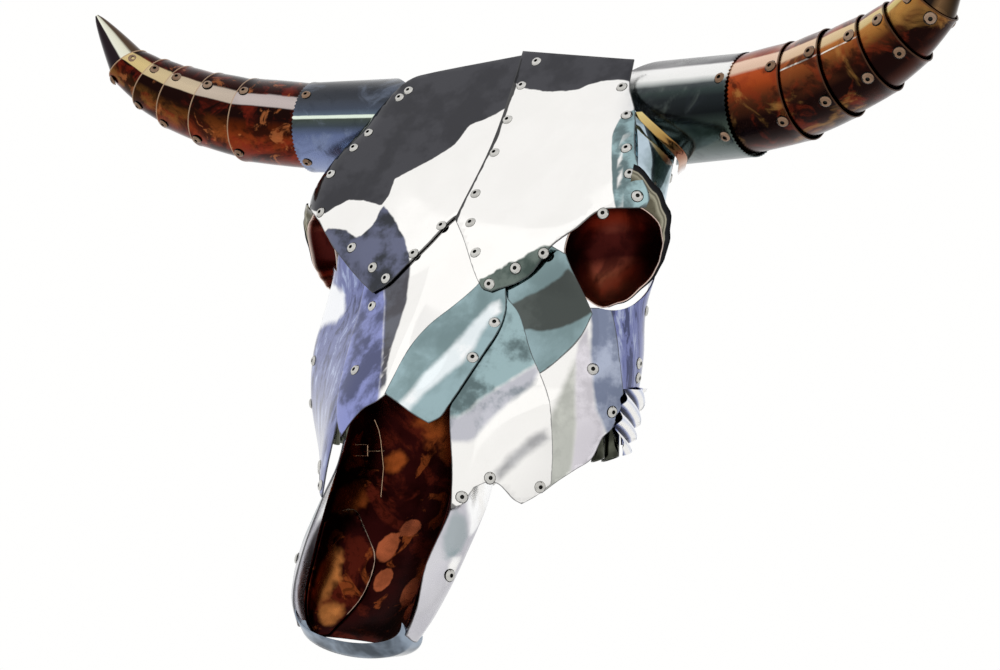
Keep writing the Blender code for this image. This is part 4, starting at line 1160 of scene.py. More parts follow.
class SKULL_OT_muzzle(bpy.types.Operator):
    """Bend the muzzle's side plates and the lip under the nose."""

    bl_idname = "skull.muzzle"
    bl_label = "Muzzle"

    # The lip from top to bottom: half width, front, height of its ends and of its middle
    lip_rows = (
        (0.0500, -0.2475, -0.456, -0.4760),
        (0.0515, -0.2380, -0.466, -0.4880),
        (0.0490, -0.2190, -0.470, -0.4900),
    )
    lip_steps = 36
    lip_lines = 5
    lip_power = 0.8

    def execute(self, context):
        mirror = tuple(settings().mirror_colour)
        for hand in SIDE_NAMES.values():
            # Painted light on the muzzle: the shadow tone is painted shadow, shine and spark are
            # painted highlights
            steel_plate(
                "muzzle_plate_" + hand, MUZZLE_SIDE, "Mirror steel, muzzle " + hand,
                ((0.50, 0.49, 0.54), (0.70, 0.69, 0.70)),
                (("shadow", MUZZLE_SHADOW, ((0.25, 0.32, 0.34), (0.36, 0.40, 0.42)),
                  0.003, 0.004, 1.0),
                 ("shine", MUZZLE_SHINE, mirror, 0.003, 0.003, 1.0),
                 ("spark", MUZZLE_SPARK, mirror, 0.002, 0.002, 1.0)),
                roughness=0.24, mottle=0.5, stretch=(0.5, 0.5, 0.5))
        rows = []
        for line in range(self.lip_lines * 2 + 1):
            first = min(line // self.lip_lines, 1)
            t = line / self.lip_lines - first
            low, high = self.lip_rows[first], self.lip_rows[first + 1]
            half, front, end, middle = (a + (b - a) * t for a, b in zip(low, high))
            row = []
            for step in range(self.lip_steps + 1):
                angle = math.pi * step / self.lip_steps
                drop = (end - middle) * math.sin(angle) ** self.lip_power
                row.append(Vector((half * math.cos(angle), front, end - drop)) + POLL)
            rows.append(row)
        lip_steel = polished_steel(
            "Blued steel, lip", (0.062, 0.075, 0.092), (0.30, 0.36, 0.44), mottle=1.0,
            rimmed=False)
        finish_sheet("muzzle_lip", facing_front(sheet_through(rows)), lip_steel,
                     SHEET)
        return {"FINISHED"}


def trough_point(height, share, inward=0.0):
    """A point of the nose trough: share runs 0 to 1 from its right edge to its left edge."""
    half_width, front, depth = smooth_between(LINING_SECTIONS, height)
    angle = math.pi * share
    return Vector(((half_width - inward) * math.cos(angle),
                   front + (depth - inward) * math.sin(angle), height)) + POLL


class SKULL_OT_nose_lining(bpy.types.Operator):
    """Line the nose with two lapped copper sheets and their seam."""

    bl_idname = "skull.nose_lining"
    bl_label = "Nose lining"

    top = -0.285
    bottom = -0.4765
    lines = 46
    steps = 40
    # How far the lower sheet and the seam stand inside the upper sheet, and the wire
    lap = 0.0016
    seam_lift = 0.0010
    wire_radius = 0.0005
    wire_overlap = 0.0006
    # Length of the way round the trough in the lower sheet's flat pattern, and where its
    # border runs out of sight: past a share and below a height
    round_length = 0.16
    hidden_share = 0.90
    hidden_height = -0.462
    # The lower sheet's outline: (height, share round the trough)
    tongue = (
        (-0.3930, 0.992), (-0.3865, 0.938), (-0.3841, 0.858), (-0.3865, 0.818),
        (-0.3965, 0.770), (-0.4093, 0.708), (-0.4193, 0.660), (-0.4336, 0.635),
        (-0.4503, 0.638), (-0.4622, 0.675), (-0.4708, 0.728), (-0.4755, 0.790),
        (-0.4755, 0.992), (-0.4580, 0.992), (-0.4300, 0.992), (-0.4050, 0.992),
    )
    # Mark in the middle of a spot or patch, falling to 0 at its border
    spot_reach = 0.006
    # Orange spots: height, share round the trough, half height, half share
    spots = (
        (-0.4136, 0.615, 0.0110, 0.052), (-0.4370, 0.570, 0.0085, 0.046),
        (-0.3979, 0.535, 0.0065, 0.050), (-0.4427, 0.375, 0.0100, 0.055),
        (-0.4550, 0.285, 0.0060, 0.045),
    )
    # Flamed patches, softer than the spots
    patches = (
        (-0.3120, 0.480, 0.0180, 0.125), (-0.3750, 0.870, 0.0110, 0.080),
        (-0.4340, 0.880, 0.0200, 0.070), (-0.3480, 0.700, 0.0080, 0.050),
        (-0.3350, 0.430, 0.0120, 0.050), (-0.4620, 0.800, 0.0080, 0.080),
        (-0.4260, 0.330, 0.0080, 0.060),
    )
    # The seam and the wire bracket as strokes: (height, share round the trough)
    strokes = (
        ((-0.3127, 0.850), (-0.3210, 0.815), (-0.3293, 0.795), (-0.3520, 0.750),
         (-0.3750, 0.725)),
        ((-0.3327, 0.932), (-0.3331, 0.860), (-0.3422, 0.845), (-0.3417, 0.912)),
        ((-0.3384, 0.860), (-0.3384, 0.810), (-0.3384, 0.768)),
    )

    def mark(self, height, share, places):
        """How far inside the nearest spot a point of the trough is."""
        return max(self.spot_reach * (1.0 - math.hypot((height - h) / dh, (share - s) / ds))
                   for h, s, dh, ds in places)

    def execute(self, context):
        places = [(self.top + (self.bottom - self.top) * line / self.lines, step / self.steps)
                  for line in range(self.lines + 1) for step in range(self.steps + 1)]
        wide = self.steps + 1
        points = [trough_point(*place) for place in places]
        shape = sheet_through(
            [points[i:i + wide] for i in range(0, len(points), wide)],
            spots=[self.mark(*place, self.spots) for place in places],
            patches=[self.mark(*place, self.patches) for place in places])
        copper = lining_copper("Dark copper, nose", (
            ("patches", (0.28, 0.062, 0.013), 0.0022, 0.008, 0.9),
            ("spots", (0.36, 0.090, 0.035), 0.0005, 0.002, 0.95)))
        finish_sheet("nose_lining_upper", facing_front(shape), copper,
                     COPPER_SHEET, False)
        self.tongue_sheet()
        self.seam()
        return {"FINISHED"}

    def tongue_sheet(self):
        """The lower sheet that laps over the trough on its left side."""
        smoothed = smooth_outline([(h, s * self.round_length) for h, s in self.tongue])
        pattern = flat_pattern(smoothed)
        cut_by_grid(pattern, PLATE_CELL * 0.6)
        split_many_sided(pattern)
        border = [(spot.y, spot.x) for spot in smoothed]
        edge, patches = (pattern.verts.layers.float.new(name) for name in ("edge", "patches"))
        for vert in pattern.verts:
            height, share = vert.co.y, vert.co.x / self.round_length
            # Its border shows only along the lap
            hidden = (max(share - self.hidden_share, 0.0) / 12
                      + max(self.hidden_height - height, 0.0) / 2)
            vert[edge] = edge_distance(vert.co.xy, border) + hidden
            vert[patches] = self.mark(height, share, self.patches)
            vert.co = trough_point(height, share, self.lap)
        copper = lining_copper(
            "Flamed copper, nose", (("patches", (0.48, 0.17, 0.045), 0.0020, 0.006, 0.9),),
            level=0.50, rim=(0.50, 0.36, 0.27))
        finish_sheet("nose_lining_lower", facing_front(pattern), copper,
                     COPPER_SHEET)

    def seam(self):
        """The upright lap seam and the little wire bracket at the back of the nose."""
        shape = bmesh.new()
        for stroke in self.strokes:
            line = [trough_point(height, share, self.seam_lift) for height, share in stroke]
            for start, end in zip(line, line[1:]):
                run = end - start
                bmesh.ops.create_cone(
                    shape, cap_ends=True, segments=8, radius1=self.wire_radius,
                    radius2=self.wire_radius, depth=run.length + self.wire_overlap,
                    matrix=looking((start + end) / 2, run))
        gilded = polished_steel("Gilded copper, seam", (0.50, 0.32, 0.20), (0.62, 0.46, 0.32),
                                roughness=0.2, rimmed=False)
        finish_piece("nose_seam", shape, [gilded], None)


def socket_frame(side):
    """The eye socket's place: its own Z looks out of the socket, its X out and back."""
    across = SOCKET_FACING.cross(Vector((0, 0, 1))).normalized()
    up = across.cross(SOCKET_FACING)
    turn = Matrix((-across, up, SOCKET_FACING)).transposed().to_4x4()
    return Matrix.Translation(SOCKET_CENTRES[side]) @ turn


class SKULL_OT_eye_sockets(bpy.types.Operator):
    """Raise the copper bowls of the eye sockets and their dark brow flanges."""

    bl_idname = "skull.eye_sockets"
    bl_label = "Eye sockets"

    # Share of the socket's radius by angle, from outward through up, right and left
    rim_shares = {
        1: ((0, 0.88), (20, 0.97), (40, 1.05), (75, 1.05), (120, 1.02), (173, 1.0),
            (205, 0.92), (234, 0.99), (257, 1.04), (277, 0.92), (311, 0.80), (340, 0.83),
            (360, 0.88)),
        -1: ((0, 1.02), (30, 1.22), (60, 1.02), (90, 0.92), (180, 1.0), (235, 0.86),
             (270, 0.66), (300, 0.60), (330, 0.72), (360, 1.02)),
    }
    sides = 64
    bowl_rings = 14
    # The rolled rim: share of the radius and how far it stands out, then the rings' spacing
    rolled_rim = (1.015, 0.0008)
    ring_spacing = 0.0008
    # Brow flange: angle in degrees, inner and outer distance from the rim, setback
    flange = ((-95, 0.0006, 0.0018, 0.0), (-50, 0.0006, 0.0024, 0.0),
              (-15, 0.0006, 0.0034, -0.0005), (10, 0.0006, 0.0052, -0.001),
              (25, 0.0006, 0.0075, -0.0025), (45, 0.0006, 0.0140, -0.0045),
              (62, 0.0006, 0.0215, -0.0060), (82, 0.0006, 0.0320, -0.0070))
    flange_steps = 48
    flange_shares = (0.0, 0.15, 0.3, 0.45, 0.6, 0.7, 0.8, 0.9, 1.0)
    # The left flange's share of the right one's width, and the width of the bright edge, whose
    # pale stripes are painted highlights
    left_flange_share = 0.35
    bright_edge = 0.011

    def rim_share(self, degrees, side):
        """The rim's share of the radius at an angle, on a smooth curve."""
        degrees %= 360
        shares = self.rim_shares[side]
        for (a, low), (b, high) in zip(shares, shares[1:]):
            if a <= degrees <= b:
                t = (degrees - a) / (b - a)
                return low + (high - low) * t * t * (3 - 2 * t)
        return 1.0

    def flange_at(self, degrees):
        """The flange's inner and outer width and its setback at an angle."""
        for first, second in zip(self.flange, self.flange[1:]):
            if first[0] <= degrees <= second[0]:
                t = (degrees - first[0]) / (second[0] - first[0])
                t = t * t * (3 - 2 * t)
                return [a + (b - a) * t for a, b in zip(first[1:], second[1:])]
        return self.flange[-1][1:]

    def execute(self, context):
        for side, hand in SIDE_NAMES.items():
            self.bowl(side, hand)
            self.brow_flange(side, hand)
        return {"FINISHED"}

    def bowl(self, side, hand):
        """One copper bowl with a rolled rim."""
        shape = bmesh.new()
        drop = shape.verts.layers.float.new("drop")
        rim = shape.verts.layers.float.new("rim")
        rings = []
        turns = [0.0] + [math.radians(90 * i / self.bowl_rings) for i in range(self.bowl_rings)]
        for index, tilt in enumerate(turns):
            radius, depth = math.cos(tilt), -SOCKET_DEPTH * math.sin(tilt)
            if index == 0:
                radius, depth = self.rolled_rim
            made = bmesh.ops.create_circle(shape, cap_ends=False, radius=1.0,
                                           segments=self.sides)["verts"]
            for vert in made:
                degrees = math.degrees(math.atan2(vert.co.y, vert.co.x))
                share = 1.0 + (self.rim_share(degrees, side) - 1.0) * math.cos(tilt)
                vert[drop] = 0.5 - 0.5 * vert.co.y * radius
                vert[rim] = self.ring_spacing * index
                vert.co = Vector((vert.co.x * radius * share * SOCKET_RADIUS,
                                  vert.co.y * radius * share * SOCKET_RADIUS, depth))
            rings.append(made)
        bridge_rings(shape, rings)
        bottom = bmesh.ops.create_vert(shape, co=(0, 0, -SOCKET_DEPTH))["vert"][0]
        bottom[drop], bottom[rim] = 0.5, FAR_FROM_RIM
        last = rings[-1]
        for edge in [e for e in shape.edges if e.is_boundary and all(v in last for v in e.verts)]:
            shape.faces.new((edge.verts[0], edge.verts[1], bottom))
        turn_faces(shape, lambda face: face.normal.z * face.calc_area())
        shape.transform(socket_frame(side))
        # Painted light in the hollow over dark copper: brighter at the top and the bottom, dark
        # across the middle, with a pale painted highlight line along the rolled rim
        copper = banded_metal(
            "Dark copper, socket " + hand,
            ((0.0, (0.32, 0.09, 0.055)), (0.16, (0.24, 0.055, 0.034)),
             (0.32, (0.06, 0.009, 0.007)), (0.56, (0.04, 0.006, 0.005)),
             (0.70, (0.20, 0.045, 0.026)), (0.84, (0.42, 0.12, 0.06)), (1.0, (0.62, 0.27, 0.16))),
            roughness=0.28, wander=0.30,
            blotches=(((0.020, 0.003, 0.003), 24.0, 0.55, 0.08, 0.7),),
            lap=(0.80, 0.66, 0.58))
        finish_sheet("socket_cup_" + hand, placed(shape, side), copper,
                     COPPER_SHEET, False)

    def brow_flange(self, side, hand):
        """The dark flange that flares round the socket's outer side."""
        start, end = self.flange[0][0], self.flange[-1][0]
        width_share = 1.0 if side > 0 else self.left_flange_share
        columns, drops = [], []
        for step in range(self.flange_steps + 1):
            degrees = start + (end - start) * step / self.flange_steps
            near, full, setback = self.flange_at(degrees)
            far = near + (full - near) * width_share
            turn = Vector((math.cos(math.radians(degrees)), math.sin(math.radians(degrees)), 0))
            base = SOCKET_RADIUS * self.rim_share(degrees, side)
            columns.append([turn * (base + near + (far - near) * t)
                            + Vector((0, 0, -setback * math.sin(math.pi * t * 0.6)))
                            for t in self.flange_shares])
            drops += [max(0.0, 1.0 - (full - near) * (1 - t) / self.bright_edge)
                      for t in self.flange_shares]
        shape = sheet_through(columns, drop=drops)
        turn_faces(shape, lambda face: face.normal.z)
        shape.transform(socket_frame(side))
        # The pale stripes are painted highlights on the dark steel
        steel = banded_metal(
            "Dark steel, brow " + hand,
            ((0.0, (0.10, 0.09, 0.06)), (0.25, (0.38, 0.36, 0.27)), (0.40, (0.12, 0.11, 0.08)),
             (0.52, (0.45, 0.42, 0.32)), (0.60, (0.020, 0.020, 0.022)),
             (1.0, (0.008, 0.008, 0.009))), roughness=0.12, wander=0.12)
        finish_sheet("socket_flange_" + hand, placed(shape, side), steel,
                     SHEET, False)


# Horns

def horn_point(index, side):
    """A point of the horn's centre line on one side, as if it were the right one."""
    changes = RIGHT_HORN_POINTS if side > 0 else LEFT_HORN_POINTS
    return Vector(changes.get(index, HORN_LINE[index]))


def horn_direction(index, side):
    """The way the horn's centre line runs at one of its points."""
    before = horn_point(max(index - 1, 0), side)
    after = horn_point(min(index + 1, len(HORN_LINE) - 1), side)
    return (after - before).normalized()


def band_edge_aim(index, side):
    """The way a band's edge looks: it is cut turned a little towards the side."""
    aim = horn_direction(index, side)
    return Vector((aim.x, aim.y * RING_TURN, aim.z)).normalized()


def closest_on(start, end, spot):
    """The nearest point of a short straight run."""
    run = end - start
    if run.length_squared < 1e-14:
        return start
    t = max(0.0, min(1.0, (spot - start).dot(run) / run.length_squared))
    return start + run * t


def form_gap(spot):
    """Distance from a point to the form's outline at its height."""
    path = head_path(spot.z)
    return min((closest_on(start, end, spot.xy) - spot.xy).length
               for start, end in zip(path, path[1:]))


def temple_meeting(outer, inner, clear):
    """Where a line from the horn towards the skull comes down on the temple plate."""
    shares = [MEETING_REACH * step / MEETING_STEPS for step in range(MEETING_STEPS + 1)]
    for low, high in zip(shares, shares[1:]):
        if form_gap(outer.lerp(inner, high)) < clear:
            for halving in range(MEETING_HALVINGS):
                middle = (low + high) / 2
                if form_gap(outer.lerp(inner, middle)) < clear:
                    high = middle
                else:
                    low = middle
            return outer.lerp(inner, low)
    return outer.lerp(inner, MEETING_REACH)


class SKULL_OT_horns(bpy.types.Operator):
    """Roll the horns: steel collar, lapped copper bands and pointed tip."""

    bl_idname = "skull.horns"
    bl_label = "Horns"

    sides = 72
    collar_clear = 0.0022
    collar_rim = 0.004
    band_lines = 7
    band_power = 0.8
    bulge = 0.0006
    lip = 0.0007
    lip_width = 0.0012
    tip_lines = 12
    tip_power = 0.8
    # Tones from the top of the horn (0) to its underside (1). The collars' dark tops, pale bands
    # and near-black stretches are painted reflections and highlights over blued steel; the tips'
    # pale strips are painted highlights
    collar_stops = {
        1: ((0.0, (0.09, 0.09, 0.095)), (0.115, (0.135, 0.13, 0.138)),
            (0.135, (0.90, 0.89, 0.88)), (0.24, (0.84, 0.84, 0.82)),
            (0.285, (0.40, 0.42, 0.41)), (0.32, (0.060, 0.070, 0.074)),
            (0.38, (0.032, 0.046, 0.044)), (0.45, (0.015, 0.019, 0.021)),
            (0.60, (0.008, 0.010, 0.011)), (0.67, (0.024, 0.034, 0.030)),
            (0.80, (0.055, 0.074, 0.058)), (0.90, (0.085, 0.108, 0.100)),
            (1.0, (0.17, 0.20, 0.20))),
        -1: ((0.0, (0.045, 0.047, 0.052)), (0.24, (0.050, 0.055, 0.066)),
             (0.36, (0.062, 0.075, 0.105)), (0.42, (0.10, 0.135, 0.18)),
             (0.43, (0.78, 0.88, 0.76)), (0.455, (0.76, 0.86, 0.74)),
             (0.465, (0.060, 0.075, 0.062)), (0.54, (0.055, 0.070, 0.085)),
             (0.64, (0.12, 0.155, 0.28)), (0.86, (0.20, 0.245, 0.42)),
             (1.0, (0.30, 0.35, 0.52))),
    }
    collar_blotch = {1: (0.16, 0.19, 0.17), -1: (0.26, 0.31, 0.42)}
    collar_bright = {1: (0.12, 0.30), -1: (0.425, 0.46)}
    band_lap = {1: (0.07, 0.035, 0.02), -1: (0.46, 0.31, 0.20)}
    tip_stops = {
        1: ((0.0, (0.20, 0.11, 0.04)), (0.18, (0.38, 0.26, 0.09)),
            (0.24, (0.70, 0.62, 0.40)), (0.30, (0.26, 0.16, 0.05)),
            (0.42, (0.10, 0.06, 0.025)), (0.50, (0.016, 0.012, 0.010)),
            (0.72, (0.020, 0.013, 0.010)), (0.84, (0.20, 0.11, 0.05)),
            (1.0, (0.03, 0.018, 0.010))),
        -1: ((0.0, (0.06, 0.035, 0.022)), (0.10, (0.10, 0.065, 0.04)),
             (0.15, (0.74, 0.73, 0.58)), (0.36, (0.80, 0.80, 0.68)),
             (0.40, (0.020, 0.014, 0.016)), (0.85, (0.018, 0.011, 0.015)),
             (1.0, (0.11, 0.07, 0.09))),
    }

    def execute(self, context):
        for side, hand in SIDE_NAMES.items():
            self.collar(side, hand)
            for index in range(1, len(HORN_LINE) - 2):
                self.band(index, side, hand)
            self.tip(side, hand)
        return {"FINISHED"}

    def collar(self, side, hand):
        """The steel collar, cut to fit the temple, its outer edge pinked."""
        start, end = horn_point(0, side), horn_point(1, side)
        run = (end - start).normalized()
        aim = band_edge_aim(1, side)
        radius = HORN_RADII[1] + SHEET
        sides = 2 * round(math.tau * radius / settings().tooth_pitch)
        shape = bmesh.new()
        drop = shape.verts.layers.float.new("drop")
        edge_centre = end + aim * BAND_OVERLAP
        root = ring(shape, start, run, HORN_RADII[0] + SHEET, sides, drop)
        far = ring(shape, edge_centre, aim, radius, sides, drop)
        near = ring(shape, edge_centre - aim * self.collar_rim, aim, radius - self.lip * 0.4,
                    sides, drop)
        for vert, mate in zip(root, near):
            vert.co = temple_meeting(mate.co, vert.co, self.collar_clear)
        for vert in far[::2]:
            vert.co += aim * settings().tooth_depth
        bridge_rings(shape, (root, near, far))
        face_outwards(shape)
        # Painted reflections and a painted highlight band over blued steel; bright spans the
        # highlight band
        steel = banded_metal(
            "Blued steel, collar " + hand, self.collar_stops[side], roughness=0.20, wander=0.02,
            blotches=((self.collar_blotch[side], 34.0, 0.60, 0.10, 0.35),
                      ((0.020, 0.024, 0.030), 40.0, 0.58, 0.10, 0.45)),
            bright=self.collar_bright[side])
        finish_sheet("horn_collar_" + hand, placed(shape, side), steel,
                     SHEET, False)

    def band(self, index, side, hand):
        """One copper band, slipped under the piece before it, its outer edge flared."""
        start, end = horn_point(index, side), horn_point(index + 1, side)
        start_aim, end_aim = band_edge_aim(index, side), band_edge_aim(index + 1, side)
        root_centre = start - horn_direction(index, side) * BAND_OVERLAP
        low, high = HORN_RADII[index] - BAND_INSET, HORN_RADII[index + 1]
        shape = bmesh.new()
        drop = shape.verts.layers.float.new("drop")
        rim = shape.verts.layers.float.new("rim")
        rings = [ring(shape, root_centre, start_aim, low + COPPER_SHEET, self.sides, drop)]
        for line in range(1, self.band_lines):
            t = line / self.band_lines
            aim = start_aim.lerp(end_aim, t).normalized()
            bulge = math.sin(math.pi * t) * self.bulge
            radius = low + (high - self.lip - low) * t ** self.band_power + bulge
            rings.append(ring(shape, root_centre.lerp(end, t), aim, radius + COPPER_SHEET,
                              self.sides, drop))
        rings.append(ring(shape, end - end_aim * self.lip_width, end_aim,
                          high - self.lip * 0.7 + COPPER_SHEET, self.sides, drop))
        rings.append(ring(shape, end, end_aim, high + COPPER_SHEET, self.sides, drop))
        gaps = [FAR_FROM_RIM] * (len(rings) - 2) + [self.lip_width, 0.0]
        for made, gap in zip(rings, gaps):
            for vert in made:
                vert[rim] = gap
        bridge_rings(shape, rings)
        face_outwards(shape)
        finish_sheet("horn_band_%d_%s" % (index, hand), placed(shape, side),
                     self.copper(index, side, hand), COPPER_SHEET, False)

    def copper(self, index, side, hand):
        """A band's flamed copper with painted light: dark top, a painted highlight strip, a black
        strip of painted dark reflection, flame-mottled below.
        """
        gold = (index - 1) / (len(HORN_LINE) - 4)
        orange = tuple(settings().copper_colour)
        brass = (0.40, 0.22, 0.05)
        lower = tuple(a + (b - a) * gold * 0.8 for a, b in zip(orange, brass))
        black = (0.010, 0.0035, 0.003)
        if side > 0:
            # light is the colour of the painted highlight strip, on both sides
            light = (0.80 - 0.16 * gold, 0.56 - 0.06 * gold, 0.42 - 0.24 * gold)
            bright = (0.15, 0.27)
            stops = [(0.0, (0.05, 0.010, 0.005)), (0.05, (0.22, 0.040, 0.014)),
                     (0.135, (0.30, 0.055, 0.018)), (0.155, light), (0.26, shade(light, 0.85)),
                     (0.30, shade(lower, 1.1)), (0.45, shade(lower, 0.7)),
                     (0.58, (0.070, 0.020, 0.008)), (0.75, black), (0.92, black),
                     (1.0, (0.05, 0.012, 0.006))]
            if index in (2, 3):
                stops[6:7] = [(0.345, shade(lower, 0.8)), (0.35, (0.85, 0.80, 0.72)),
                              (0.362, (0.85, 0.80, 0.72)), (0.367, shade(lower, 0.7))]
            blotches = (((0.20, 0.024, 0.008), 34.0, 0.57, 0.07, 0.5),
                        (black, 30.0, 0.55, 0.07, 0.75),
                        ((0.46, 0.23, 0.06), 24.0, 0.60, 0.07, 0.45))
        else:
            light = (0.50 + 0.18 * gold, 0.43 + 0.09 * gold, 0.41 - 0.17 * gold)
            bright = (0.215 - 0.09 * gold, 0.355)
            stops = [(0.0, (0.03, 0.009, 0.007)), (0.08, (0.040, 0.012, 0.009)),
                     (bright[0] - 0.02, (0.022, 0.007, 0.006)), (bright[0], light),
                     (0.345, shade(light, 0.9)), (0.36, black), (0.50, black),
                     (0.60, shade(lower, 0.25)), (0.78, shade(lower, 0.65)),
                     (0.90, (0.17, 0.024, 0.009)), (1.0, (0.09, 0.012, 0.006))]
            blotches = (((0.20, 0.018, 0.008), 34.0, 0.53, 0.05, 0.6),
                        (black, 24.0, 0.50, 0.07, 0.85),
                        ((0.44, 0.14, 0.045), 48.0, 0.63, 0.04, 0.6))
        return banded_metal("Flamed copper, band %d %s" % (index, hand), stops,
                            roughness=0.18, dent=0.08, blotches=blotches, bright=bright,
                            lap=self.band_lap[side])

    def tip(self, side, hand):
        """The pointed tip, a closed cone."""
        last = len(HORN_LINE) - 2
        start, end = horn_point(last, side), horn_point(last + 1, side)
        aim = band_edge_aim(last, side)
        root_radius = HORN_RADII[last] - BAND_INSET + COPPER_SHEET
        shape = bmesh.new()
        drop = shape.verts.layers.float.new("drop")
        root = start - horn_direction(last, side) * BAND_OVERLAP
        rings = [ring(shape, root, aim, root_radius, self.sides, drop)]
        for line in range(self.tip_lines + 1):
            share = line / self.tip_lines
            radius = root_radius * (1 - share) ** self.tip_power + HORN_RADII[-1] * share
            rings.append(ring(shape, start.lerp(end, share), aim, radius, self.sides, drop))
        bridge_rings(shape, rings)
        bmesh.ops.holes_fill(shape, edges=shape.edges[:], sides=self.sides)
        bmesh.ops.recalc_face_normals(shape, faces=shape.faces)
        name = "horn_tip_" + hand
        # The tip's pale strip is a painted highlight
        gilded = banded_metal("Gilded copper, tip " + hand, self.tip_stops[side], wander=0.05)
        finish_piece(name, placed(shape, side), [gilded], name)


class SKULL_OT_temple_strips(bpy.types.Operator):
    """Bend the gilded strips that flare from the temples round the horns."""

    bl_idname = "skull.temple_strips"
    bl_label = "Temple strips"

    angles = {1: (math.radians(-60), math.radians(85)), -1: (math.radians(-60), math.radians(5))}
    steps = 30
    across = (0.0, 0.3, 0.65, 1.0)
    stand_off = 0.004
    search = 0.100
    flare = 0.004
    flare_power = 1.5
    lift = 0.0006
    width = 0.0085
    clear = 0.0036

    def execute(self, context):
        start = Vector(HORN_LINE[0])
        run = (Vector(HORN_LINE[1]) - start).normalized()
        down = (Vector((0, 0, -1)) + run * run.z).normalized()
        forward = frontward(down.cross(run).normalized())
        for side, hand in SIDE_NAMES.items():
            rows, shares = [], []
            for step in range(self.steps + 1):
                shares += [step / self.steps] * len(self.across)
                low, high = self.angles[side]
                angle = low + (high - low) * step / self.steps
                radial = down * math.cos(angle) + forward * math.sin(angle)
                line = start + radial * (HORN_RADII[0] + self.stand_off)
                seat = temple_meeting(line + run * self.search, line, self.clear)
                rows.append([seat + radial * self.flare * (1 - t) ** self.flare_power
                             + run * (self.lift + self.width * t) for t in self.across])
            shape = sheet_through(rows, drop=shares)
            face_outwards(shape)
            # The pale pink-white stretch part way along the strip is a painted highlight
            gilded = banded_metal(
                "Gilded copper, strip " + hand,
                ((0.0, (0.40, 0.26, 0.10)), (0.30, (0.22, 0.07, 0.035)),
                 (0.44, (0.86, 0.80, 0.78)), (0.56, (0.62, 0.42, 0.32)),
                 (0.70, (0.24, 0.075, 0.035)), (0.84, (0.42, 0.26, 0.08)),
                 (1.0, (0.62, 0.50, 0.22))), roughness=0.12, wander=0.10)
            finish_sheet("temple_strip_" + hand, placed(shape, side), gilded,
                         COPPER_SHEET)
        return {"FINISHED"}


class SKULL_OT_molars(bpy.types.Operator):
    """Fold the molar pleats and roll the molar tubes."""

    bl_idname = "skull.molars"
    bl_label = "Molars"

    pleat_top = -0.282
    pleat_bottom = -0.336
    pleat_first = 0.192
    pleat_width = 0.050
    pleat_pitch = 0.0148
    pleat_slant = 1.55
    pleat_depth = 0.0062
    pleat_base = -0.0030
    # Lower end of the pleats: share across them and height above its lowest point
    pleat_ends = ((0.0, 0.022), (0.25, 0.008), (0.5, 0.0), (0.75, 0.010), (1.0, 0.030))
    pleat_lines = 36
    pleat_steps = 24
    # Tubes: name, how far out and back they stand, radius
    tubes = (("front", 0.1310, -0.0960, 0.0055), ("rear", 0.1335, -0.0800, 0.0072))
    tube_top = -0.306
    tube_bottom = -0.340
    tube_lines = 4
    tube_sides = 24
    tube_slant = 0.35
    tube_lift = 0.001

    def execute(self, context):
        for side, hand in SIDE_NAMES.items():
            self.pleats(side, hand)
            for place, x, y, radius in self.tubes:
                self.tube(place, Vector((x, y, 0)), radius, side, hand)
        return {"FINISHED"}

    def pleats(self, side, hand):
        """One sheet folded into slanting pleats on the form."""
        rows, folds = [], []
        for line in range(self.pleat_lines + 1):
            row = []
            for step in range(self.pleat_steps + 1):
                share = step / self.pleat_steps
                drop = (self.pleat_end(share) + self.pleat_bottom - self.pleat_top)
                drop *= line / self.pleat_lines
                turn = -drop / self.pleat_pitch - self.pleat_slant * share
                rise = 0.5 - 0.5 * math.cos(math.tau * turn)
                row.append(on_form(head_path, self.pleat_top + drop,
                                   self.pleat_first + self.pleat_width * share,
                                   self.pleat_base + self.pleat_depth * rise, side)[0])
                folds.append(rise)
            rows.append(row)
        shape = sheet_through(rows, drop=folds)
        turn_faces(shape, lambda face: face.normal.x * side)
        mirror = tuple(settings().mirror_colour)
        # Painted shade: the fold valleys dark, the ridges mirror-bright
        steel = banded_metal(
            "Mirror steel, pleats " + hand,
            ((0.0, (0.02, 0.022, 0.035)), (0.20, (0.07, 0.08, 0.15)),
             (0.38, (0.32, 0.36, 0.55)), (0.55, mirror), (0.85, mirror),
             (1.0, (0.70, 0.74, 0.86))), wander=0.35)
        finish_sheet("molar_pleats_" + hand, shape, steel, COPPER_SHEET)

    def pleat_end(self, share):
        """How far above their lowest point the pleats end, at a share across them."""
        for (a, low), (b, high) in zip(self.pleat_ends, self.pleat_ends[1:]):
            if share <= b:
                return low + (high - low) * (share - a) / (b - a)
        return high

    def tube(self, place, spot, radius, side, hand):
        """One rolled tube, its lower end cut at a slant."""
        shape = bmesh.new()
        rings = []
        for line in range(self.tube_lines + 1):
            height = self.tube_top + (self.tube_bottom - self.tube_top) * line / self.tube_lines
            rings.append(ring(shape, spot + Vector((0, 0, height)), Vector((0, 0, 1)), radius,
                              self.tube_sides))
        for vert in rings[-1]:
            vert.co.z += self.tube_slant * (vert.co.x - spot.x) + self.tube_lift
        bridge_rings(shape, rings)
        face_outwards(shape)
        steel = polished_steel(
            "Dark steel, tube %s %s" % (place, hand), (0.022, 0.023, 0.017),
            (0.20, 0.21, 0.16), mottle=0.6, rimmed=False)
        finish_sheet("molar_tube_%s_%s" % (place, hand), placed(shape, side), steel,
                     SHEET, False)


